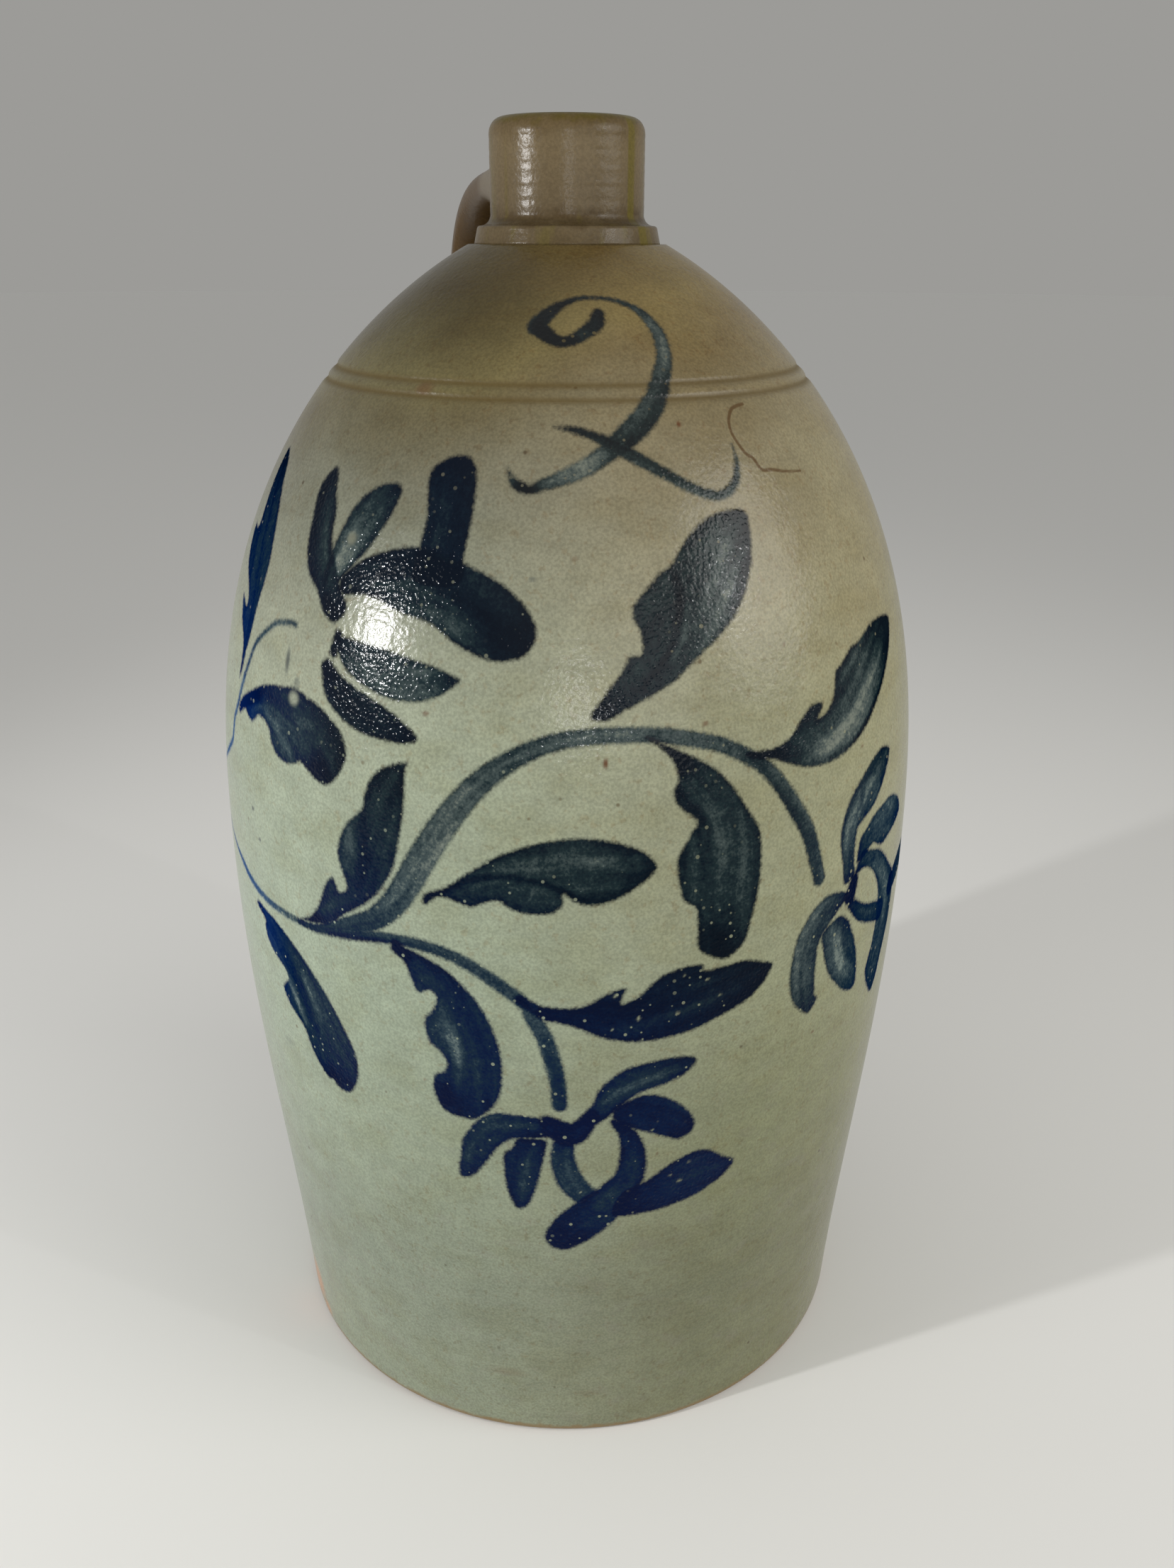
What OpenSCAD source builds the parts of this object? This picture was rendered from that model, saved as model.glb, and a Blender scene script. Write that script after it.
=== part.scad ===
// Two-gallon stoneware jug: a thrown ovoid body with a narrow spout, and a pulled strap
// handle luted to the neck and the shoulder. Millimetres. The origin is the centre of the
// base, +Z is up, the handle is at the back (+Y) and the painted front faces -Y.

/* [Body] */
// Radius where the wall meets the foot
foot_r = 91.3; // [88:0.1:95]
// Outward slope of the wall at the foot, as run over rise
foot_flare = 0.06; // [0:0.01:0.12]
// Radius that softens the edge of the foot
foot_edge_r = 1.8; // [1:0.1:3]
// Widest radius of the body
belly_r = 104; // [100:0.5:108]
// Height of the widest radius
belly_z = 168; // [160:1:176]
// Height from the belly to the pole that the shoulder curve aims at
dome_h = 175.7; // [174.5:0.1:177]
// Fullness of the shoulder curve along its height
dome_power_z = 2.58; // [2.5:0.01:2.7]
// Fullness of the shoulder curve along its radius
dome_power_r = 1.505; // [1.45:0.005:1.55]
// Height of the flat seat that the neck stands on
seat_z = 334.4; // [333.5:0.1:335]

/* [Wall] */
// Thickness of the wall
wall = 6.5; // [6:0.5:8]
// Thickness of the floor
floor_t = 8.5; // [8:0.5:12]
// Radius between the floor and the wall inside
floor_corner_r = 14; // [10:1:18]
// Extra thickness where the shoulder closes in to the throat
crown_wall = 9.5; // [9:0.5:10.5]
// Thickness of the poured slip that lines the inside
slip_t = 0.5; // [0.4:0.1:0.8]

/* [Incised rings] */
// Height of the upper ring on the shoulder
upper_ring_z = 303.6; // [302:0.1:305]
// Distance between the two rings, in height
ring_gap = 3.2; // [2.5:0.1:4]
// Radius of the tool's tip that cut them
ring_tip_r = 0.7; // [0.5:0.1:0.9]

/* [Neck] */
// Outer radius of the neck
neck_r = 20.8; // [20.5:0.1:22]
// Radius of the mouth
mouth_r = 14; // [12:0.5:14.5]
// Height of the lip above the base
lip_z = 365.5; // [364:0.5:367]
// Radius that rounds the lip outside
lip_outer_r = 4; // [3:0.5:5]
// Radius that rounds the lip inside
lip_inner_r = 2.5; // [1.5:0.5:3]
// Outer radius of the collar at the foot of the neck
collar_r = 25.3; // [24.6:0.1:26]
// Height of the collar's band
collar_h = 3.6; // [3:0.1:4]
// How far the band leans in towards its top
collar_lean = 0.8; // [0:0.1:1]
// Radius of the cove between the collar and the neck; what is left rounds the band's edge
cove_r = 2.7; // [2.2:0.1:2.8]

/* [Handle] */
// Width of the strap at the neck
strap_top_w = 36; // [34:1:38]
// Width of the strap at the shoulder
strap_foot_w = 36; // [32:1:38]
// Thickness of the strap
strap_t = 12; // [10:0.5:14]
// How square the strap's section is: 2 is an oval
strap_square = 2.6; // [2:0.1:4]
// How far the clay worked round the upper end stands out from the strap at the neck
neck_luting_flare = 3.5; // [2:0.5:5]
// How far the clay worked round the lower end stands out from the strap at the shoulder
shoulder_luting_flare = 4; // [3:0.5:5]

/* [Hidden] */
$fn = 96;

lower_steps = 14;
dome_steps = 30;
arc_steps = 6;

// The strap's middle line, as [distance behind the axis, height]: where it leaves the
// neck, the two points that pull it up and out, and where it sinks into the shoulder
strap_path = [[3, 348], [57, 354], [101, 347], [78, 255]];
strap_rings = 30;
strap_sides = 24;

// The stretch of the strap, as a share of its path, that the clay round each end covers,
// and how proud its thin edge stands
neck_luting_from = 0.3;
shoulder_luting_from = 0.72;
luting_edge = 0.6;
luting_rings = 8;
// Share of the flare that goes sideways at the neck, which is little wider than the strap
neck_side_flare = 0.7;

clay = "#8f8b74";
toasted_clay = "#6f634c";
slip_brown = "#3b2a20";

// An arc of points about c, from angle a to angle b
function arc(c, r, a, b, n = arc_steps) =
    [for (i = [0:n]) c + r * [cos(a + (b - a) * i / n), sin(a + (b - a) * i / n)]];

// Radius of the side wall below the belly, a smooth curve from the foot
function side_r(z) =
    let (u = z / belly_z)
    foot_r + (belly_r - foot_r) * (3 * u * u - 2 * u * u * u)
    + foot_flare * belly_z * (u * u * u - 2 * u * u + u);

// A point of the shoulder curve, a superellipse of radius r and height h above the belly
function dome_point(q, r, h) =
    [r * pow(cos(q), 2 / dome_power_r), belly_z + h * pow(sin(q), 2 / dome_power_z)];

// The angle at which that curve reaches a height or a radius
function dome_angle_at_z(z, h) = asin(pow((z - belly_z) / h, dome_power_z / 2));
function dome_angle_at_r(at_r, r) = acos(pow(at_r / r, dome_power_r / 2));

// The shoulder's outer radius at a height
function dome_r(z) = dome_point(dome_angle_at_z(z, dome_h), belly_r, dome_h)[0];

// The outside of the body from the foot's edge up to the seat of the neck
function outside() = concat(
    arc([foot_r - foot_edge_r, foot_edge_r], foot_edge_r, -90, -4),
    [for (i = [1:lower_steps - 1]) let (z = belly_z * i / lower_steps) [side_r(z), z]],
    let (last = dome_angle_at_z(seat_z, dome_h))
    [for (i = [0:dome_steps]) dome_point(last * i / dome_steps, belly_r, dome_h)]);

// The inside from the middle of the floor up to the throat, as wide as the mouth, for a
// wall thicker by extra
function inside(extra = 0) =
    let (
        t = wall + extra,
        bottom = floor_t + extra,
        corner = floor_corner_r - extra,
        corner_top = floor_t + floor_corner_r,
        last = dome_angle_at_r(mouth_r, belly_r - t))
    concat(
        [[0, bottom]],
        arc([side_r(corner_top) - wall - floor_corner_r, corner_top], corner, -90, 0),
        [for (i = [2:lower_steps - 1]) let (z = belly_z * i / lower_steps) [side_r(z) - t, z]],
        [for (i = [0:dome_steps])
            dome_point(last * i / dome_steps, belly_r - t, dome_h - crown_wall - extra)]);

function reversed(points) = [for (i = [len(points) - 1:-1:0]) points[i]];

// A point of the strap's middle line at t from 0 to 1, and its direction there
function strap_point(t) =
    let (p = strap_path, s = 1 - t)
    s * s * s * p[0] + 3 * s * s * t * p[1] + 3 * s * t * t * p[2] + t * t * t * p[3];
function strap_direction(t) =
    let (
        p = strap_path,
        s = 1 - t,
        d = s * s * (p[1] - p[0]) + 2 * s * t * (p[2] - p[1]) + t * t * (p[3] - p[2]))
    d / norm(d);

// A power that keeps the sign, for the rounded-square section
function signed_power(x, e) = sign(x) * pow(abs(x), e);

// One ring of the strap's section, across X and square to the middle line, grown by
// [sideways, in thickness]
function strap_ring(t, grow) =
    let (
        c = strap_point(t),
        d = strap_direction(t),
        w = (strap_top_w + (strap_foot_w - strap_top_w) * t) / 2 + grow[0],
        h = strap_t / 2 + grow[1])
    [for (k = [0:strap_sides - 1])
        let (
            a = 360 * k / strap_sides,
            x = w * signed_power(cos(a), 2 / strap_square),
            o = h * signed_power(sin(a), 2 / strap_square))
        [x, c[0] - d[1] * o, c[1] + d[0] * o]];

// Sweeps the strap's section from t0 to t1 of its path, growing ever faster from grow0 to
// grow1. The rings are put in the path's own order, so the solid is never inside out.
module strap_sweep(t0, t1, grow0, grow1, count) {
    rings = [for (i = [0:count])
        let (u = i / count)
        strap_ring(t0 + (t1 - t0) * u, grow0 + (grow1 - grow0) * u * u)];
    points = [for (ring = t1 > t0 ? rings : reversed(rings)) each ring];
    first_cap = [for (k = [strap_sides - 1:-1:0]) k];
    last_cap = [for (k = [0:strap_sides - 1]) count * strap_sides + k];
    sides = [for (i = [0:count - 1]) for (k = [0:strap_sides - 1])
        let (
            a = i * strap_sides + k,
            b = i * strap_sides + (k + 1) % strap_sides)
        [a, b, b + strap_sides, a + strap_sides]];
    polyhedron(points, concat([first_cap], sides, [last_cap]));
}

module strap_solid() {
    strap_sweep(0, 1, [0, 0], [0, 0], strap_rings);
}

// The whole outside of the body as one solid of revolution
module body_form() {
    rotate_extrude()
        polygon(concat([[0, 0]], outside(), [[0, seat_z]]));
}

// The whole outside of the neck, from its seat to the top of the lip
module neck_form() {
    rotate_extrude()
        polygon(concat([[0, seat_z]], neck_outside(), [[0, lip_z]]));
}

// The collar's band, its softened edge, the cove, the straight neck and the rolled lip
function neck_outside() =
    let (
        band_top = seat_z + collar_h,
        edge = collar_r - collar_lean - neck_r - cove_r)
    concat(
        [[collar_r, seat_z]],
        arc([neck_r + cove_r, band_top], edge, 0, 90),
        arc([neck_r + cove_r, band_top + edge + cove_r], cove_r, 270, 180),
        arc([neck_r - lip_outer_r, lip_z - lip_outer_r], lip_outer_r, 0, 90));

module body() {
    color(clay)
        difference() {
            rotate_extrude()
                polygon(concat([[0, 0]], outside(), [[mouth_r, seat_z]],
                    reversed(inside())));
            for (z = [upper_ring_z, upper_ring_z - ring_gap])
                rotate_extrude()
                    translate([dome_r(z) + ring_tip_r / 3, z])
                        circle(r = ring_tip_r);
        }
}

module neck() {
    bore_top = lip_z - lip_inner_r;
    color(toasted_clay)
        rotate_extrude()
            polygon(concat([[mouth_r, seat_z]], neck_outside(),
                arc([mouth_r + lip_inner_r, bore_top], lip_inner_r, 90, 180)));
}

module handle() {
    color(toasted_clay)
        difference() {
            strap_solid();
            body_form();
            neck_form();
        }
}

module neck_luting() {
    color(toasted_clay)
        difference() {
            strap_sweep(neck_luting_from, 0, luting_edge * [1, 1],
                neck_luting_flare * [neck_side_flare, 1], luting_rings);
            strap_solid();
            neck_form();
            body_form();
        }
}

module shoulder_luting() {
    color(clay)
        difference() {
            strap_sweep(shoulder_luting_from, 1, luting_edge * [1, 1],
                shoulder_luting_flare * [1, 1], luting_rings);
            strap_solid();
            body_form();
        }
}

module slip_lining() {
    color(slip_brown)
        rotate_extrude()
            polygon(concat(inside(), reversed(inside(slip_t))));
}

body();
neck();
handle();
neck_luting();
shoulder_luting();
slip_lining();
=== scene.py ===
"""The looks of a two-gallon salt-glazed stoneware jug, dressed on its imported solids.

Everything is in metres in the part's own frame: the origin is the centre of the base, +Z is
up, the handle is at +Y and the painted front faces -Y. Sizes below are in millimetres and
angles round the jug in degrees from the front, positive towards +X.
"""

import logging
import math
from collections.abc import Callable
from dataclasses import dataclass
from enum import Enum
from functools import partial

import bpy
import numpy as np
from mathutils import Matrix, Vector


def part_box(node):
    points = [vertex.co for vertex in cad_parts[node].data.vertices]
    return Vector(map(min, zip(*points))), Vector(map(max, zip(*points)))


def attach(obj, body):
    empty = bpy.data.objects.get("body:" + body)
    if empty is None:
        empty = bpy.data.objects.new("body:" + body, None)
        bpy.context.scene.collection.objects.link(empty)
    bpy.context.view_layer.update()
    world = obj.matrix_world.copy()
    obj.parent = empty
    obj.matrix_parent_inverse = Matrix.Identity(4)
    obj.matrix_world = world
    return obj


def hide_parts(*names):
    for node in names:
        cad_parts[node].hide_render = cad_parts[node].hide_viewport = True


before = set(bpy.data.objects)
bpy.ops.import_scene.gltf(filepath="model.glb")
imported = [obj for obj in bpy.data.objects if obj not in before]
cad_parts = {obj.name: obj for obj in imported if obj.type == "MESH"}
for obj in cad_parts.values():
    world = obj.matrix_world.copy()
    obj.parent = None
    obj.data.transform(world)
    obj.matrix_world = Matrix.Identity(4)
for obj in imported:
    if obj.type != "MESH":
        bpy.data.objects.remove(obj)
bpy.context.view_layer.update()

logging.basicConfig(level=logging.INFO, format="%(message)s")
log = logging.getLogger("jug")

MM = 0.001
ROOT = "root"

# What adds a node to a material, and what an input of a node links from
AddNode = Callable[..., bpy.types.Node]
Source = bpy.types.Node | bpy.types.NodeSocket


def linear(code: str, alpha: float = 1.0) -> tuple[float, float, float, float]:
    """Turns an sRGB hex colour into linear values.

    Args:
        code: The colour as "#rrggbb".
        alpha: The fourth value.

    Returns:
        Red, green and blue as linear light, and alpha.
    """
    shares = [int(code[i : i + 2], 16) / 255 for i in (1, 3, 5)]
    light = [c / 12.92 if c <= 0.04045 else ((c + 0.055) / 1.055) ** 2.4 for c in shares]
    return (*light, alpha)


# Settings that many nodes share: a smooth rise that is held at both ends, and one colour
# laid over another or multiplied with it
SMOOTH = {"interpolation_type": "SMOOTHSTEP"}
LAID = {"data_type": "RGBA"}
TIMES = {"data_type": "RGBA", "blend_type": "MULTIPLY"}


def shown(sockets: bpy.types.NodeInputs | bpy.types.NodeOutputs) -> list[bpy.types.NodeSocket]:
    """The sockets that a node's settings leave in use."""
    return [socket for socket in sockets if socket.enabled]


def add_node(
    tree: bpy.types.NodeTree,
    kind: str,
    inputs: tuple | dict = (),
    ramp: tuple[tuple[float, str], ...] = (),
    **settings: str | float,
) -> bpy.types.Node:
    """Adds a shader node with its settings and links.

    Args:
        tree: The material's node tree.
        kind: The node's type name, after "ShaderNode".
        inputs: A value, or what to link from, for the first inputs in order, or for some by
            name. A node stands for its first output, and None leaves an input alone.
        ramp: Places and hex colours of a colour ramp's stops.
        **settings: Values of the node's own properties.

    Returns:
        The new node.
    """
    node = tree.nodes.new("ShaderNode" + kind)
    for name, value in settings.items():
        setattr(node, name, value)
    if isinstance(inputs, dict):
        pairs = [(node.inputs[name], value) for name, value in inputs.items()]
    else:
        pairs = list(zip(shown(node.inputs), inputs))
    for socket, value in pairs:
        if isinstance(value, bpy.types.Node):
            value = shown(value.outputs)[0]
        if isinstance(value, bpy.types.NodeSocket):
            tree.links.new(value, socket)
        elif value is not None:
            socket.default_value = value
    for i, (place, code) in enumerate(ramp):
        stops = node.color_ramp.elements
        stop = stops[i] if i < len(stops) else stops.new(place)
        stop.position = place
        stop.color = linear(code)
    return node


def smoothstep(low: float, high: float, value: np.ndarray) -> np.ndarray:
    """Rises smoothly from 0 at low to 1 at high."""
    t = np.clip((value - low) / (high - low), 0, 1)
    return t * t * (3 - 2 * t)


def arc(centre: tuple[float, float], radius: float, start: float, end: float, steps: int) -> list:
    """Points of a circle's arc.

    Args:
        centre: Its centre, as (r, z).
        radius: Its radius.
        start: First angle in degrees.
        end: Last angle in degrees.
        steps: Number of spans.

    Returns:
        The points, as (r, z).
    """
    angles = [math.radians(start + (end - start) * i / steps) for i in range(steps + 1)]
    return [(centre[0] + radius * math.cos(a), centre[1] + radius * math.sin(a)) for a in angles]


@dataclass(frozen=True)
class JugForm:
    """The thrown outline that the pieces share, in millimetres, as the solids have it."""

    belly_r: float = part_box("body")[1].x / MM
    seat_z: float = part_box("body")[1].z / MM
    lip_z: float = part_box("neck")[1].z / MM
    collar_r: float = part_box("neck")[1].x / MM
    foot_r: float = 91.3
    foot_flare: float = 0.06
    foot_edge_r: float = 1.8
    belly_z: float = 168.0
    dome_h: float = 175.7
    dome_power_z: float = 2.58
    dome_power_r: float = 1.505
    wall: float = 6.5
    floor_t: float = 8.5
    floor_corner_r: float = 14.0
    crown_wall: float = 9.5
    mouth_r: float = 14.0

    def side_r(self, z: np.ndarray) -> np.ndarray:
        """Radius of the wall below the belly.

        Args:
            z: Heights.

        Returns:
            Radii.
        """
        u = z / self.belly_z
        rise = self.belly_r - self.foot_r
        lean = self.foot_flare * self.belly_z
        return self.foot_r + rise * (3 * u**2 - 2 * u**3) + lean * (u**3 - 2 * u**2 + u)

    def dome_r(self, z: np.ndarray, belly_r: float, height: float) -> np.ndarray:
        """Radius at height z of a shoulder curve of that belly radius and height."""
        t = np.clip((z - self.belly_z) / height, 0, 1)
        return belly_r * (1 - t**self.dome_power_z) ** (1 / self.dome_power_r)

    def radius(self, z: np.ndarray) -> np.ndarray:
        """Outer radius of the body.

        Args:
            z: Heights.

        Returns:
            Radii.
        """
        z = np.asarray(z, float)
        low = self.side_r(np.minimum(z, self.belly_z))
        return np.where(z < self.belly_z, low, self.dome_r(z, self.belly_r, self.dome_h))

    def point(self, theta: np.ndarray, z: np.ndarray) -> np.ndarray:
        """Points of the wall's outside at angles theta and heights z, as (n, 3)."""
        a, r = np.radians(theta), self.radius(z)
        return np.stack([r * np.sin(a), -r * np.cos(a), np.asarray(z, float)], -1)


FORM = JugForm()


class Paint(Enum):
    """How the brush was loaded: cobalt at its first touch, further along and at the lift,
    and how blue it fired."""

    LEAF = (1.00, 0.54, 0.74, 0.05)
    DARK = (1.02, 0.80, 0.95, 0.15)
    PETAL = (0.96, 0.66, 0.84, 0.10)
    WASH = (0.74, 0.38, 0.60, 0.10)
    STEM = (0.42, 0.30, 0.42, 0.05)
    PALE = (0.24, 0.18, 0.20, 0.00)
    FIGURE = (0.86, 0.46, 0.46, 0.00)


@dataclass(frozen=True)
class Stroke:
    """One touch of the brush: (angle, height, width) along its middle line."""

    points: tuple[tuple[float, float, float], ...]
    paint: Paint


@dataclass(frozen=True)
class Blade:
    """A leaf or petal filled in with the brush: its outline, and the rib the hairs followed,
    as (angle, height)."""

    outline: tuple[tuple[float, float], ...]
    rib: tuple[tuple[float, float], ...]
    paint: Paint = Paint.LEAF


@dataclass(frozen=True)
class Pool:
    """Where the cobalt gathered, or ran thin where the change is below zero, along a line
    of (angle, height, width)."""

    points: tuple[tuple[float, float, float], ...]
    change: float


@dataclass(frozen=True)
class Mark:
    """A small spot: angle, height, width along the wall, its own height and its strength."""

    theta: float
    z: float
    wide: float
    tall: float
    strength: float = 1.0


# The capacity figure, a flourished 2: hook and bow, then the tail that crosses it
FIGURE = (
    Stroke(
        ((-6.2, 319, 3.4), (-7.3, 316.8, 4.4), (-9.6, 315.3, 4.2), (-12.5, 313.8, 3.8),
         (-15.6, 312.9, 3.6), (-18.8, 313.5, 4), (-21.7, 315.3, 5), (-23.1, 316.3, 5.2),
         (-21, 318.5, 4.4), (-18.1, 320.4, 3.2), (-14.6, 321.6, 2.3), (-10.4, 322.4, 1.8),
         (-5.8, 322.4, 1.5), (-1.3, 322, 1.7), (2.9, 321, 2.1), (6.3, 319.3, 2.9),
         (8.3, 317, 3.6), (9.2, 314.3, 4), (8.8, 311, 4.2), (7.7, 308, 4.5), (6.3, 305.8, 5),
         (4.6, 302.5, 5.5), (2.5, 299.5, 6), (0, 296.5, 6.4), (-2.9, 293.8, 6.4),
         (-5.8, 291.3, 5.8), (-8.8, 288.8, 5), (-12.1, 286.3, 4.6), (-15.8, 284.3, 4),
         (-19.2, 282.8, 3.2), (-21.3, 281.8, 2.6), (-23.3, 282.5, 2.9), (-24.6, 284, 1.8),
         (-25.5, 286.3, 0.6)), Paint.FIGURE),
    Stroke(
        ((-17.5, 294.9, 0.6), (-14.2, 294.4, 2), (-10.8, 293.3, 2.6), (-7.5, 291.5, 3.5),
         (-4.2, 289.3, 3.8), (-0.8, 286.8, 3.5), (2.5, 284.3, 3.2), (5.8, 281.8, 3),
         (8.8, 280, 2.9), (11.3, 279.3, 2.7), (13.8, 280.3, 2.6), (15.6, 282.5, 2.3),
         (16.7, 285.5, 1.7), (17, 288, 0.9), (17, 289.8, 0.4)), Paint.FIGURE),
)

# The vine's stems and the curl at its far left
STEMS = (
    Stroke(
        ((-97, 191.8, 2), (-90, 195.4, 2.1), (-85, 200.5, 2.2), (-82.5, 203.5, 2.2),
         (-80.4, 207, 2.1), (-79.4, 213.2, 2), (-77.9, 217.4, 2), (-76.3, 223.5, 2),
         (-75.2, 227.4, 2)), Paint.PALE),
    Stroke(
        ((-75.2, 227.4, 1.7), (-73.8, 232, 1.8), (-72.3, 236.6, 1.8), (-70.4, 239.7, 1.8),
         (-67.9, 242.8, 1.8), (-65.8, 244.7, 1.7), (-62.5, 245.8, 1.8), (-60.8, 245.8, 1.8)),
        Paint.STEM),
    Stroke(
        ((-97, 181, 1.4), (-90, 178, 1.8), (-83.8, 174.2, 2.2), (-78, 170.8, 2.7),
         (-75.1, 168.8, 2.7), (-70.5, 166.9, 2.7), (-65.5, 166.2, 2.7), (-58, 166.2, 2.6)),
        Paint.PALE),
    Stroke(
        ((-59, 166.3, 2.4), (-55, 166.8, 3), (-51.3, 169, 4.4), (-47.5, 172, 5.4),
         (-43.5, 175.5, 6.4), (-40, 181.5, 7.4), (-37.5, 188.4, 7.8), (-35, 196.2, 7.8),
         (-32, 205, 7.4), (-28.5, 213.2, 6.6), (-25, 219.1, 5.8), (-21, 223.6, 5),
         (-17, 226.4, 4.6), (-12.5, 227.7, 4.3), (-7.5, 227.9, 4.2), (-2.5, 227.3, 4.2),
         (2.5, 225.5, 4.2), (7, 223, 4.2), (12.5, 217.3, 4.4), (15.4, 212, 4.6),
         (17.5, 206.8, 4.9), (18.75, 203.3, 5.1), (21.25, 195.8, 5.1), (22.9, 187.5, 4.9),
         (24, 181.5, 4.7)), Paint.STEM),
    Stroke(
        ((-52.2, 167.2, 2.4), (-48, 168.8, 3.2), (-44, 170.4, 3.6), (-40, 171.2, 3.6),
         (-36, 171.2, 3.6), (-32, 169.9, 3.7), (-28, 166.7, 3.9), (-24, 161.8, 4.1),
         (-21, 157.3, 4.2), (-20, 153.3, 4.5), (-18.4, 147.5, 4.8), (-17.3, 140, 4.8),
         (-16.6, 133.3, 4.5), (-16.4, 126.6, 4.3)), Paint.STEM),
    Stroke(((-21.8, 158.8, 3), (-19, 155.6, 3.6)), Paint.PETAL),
)

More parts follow.
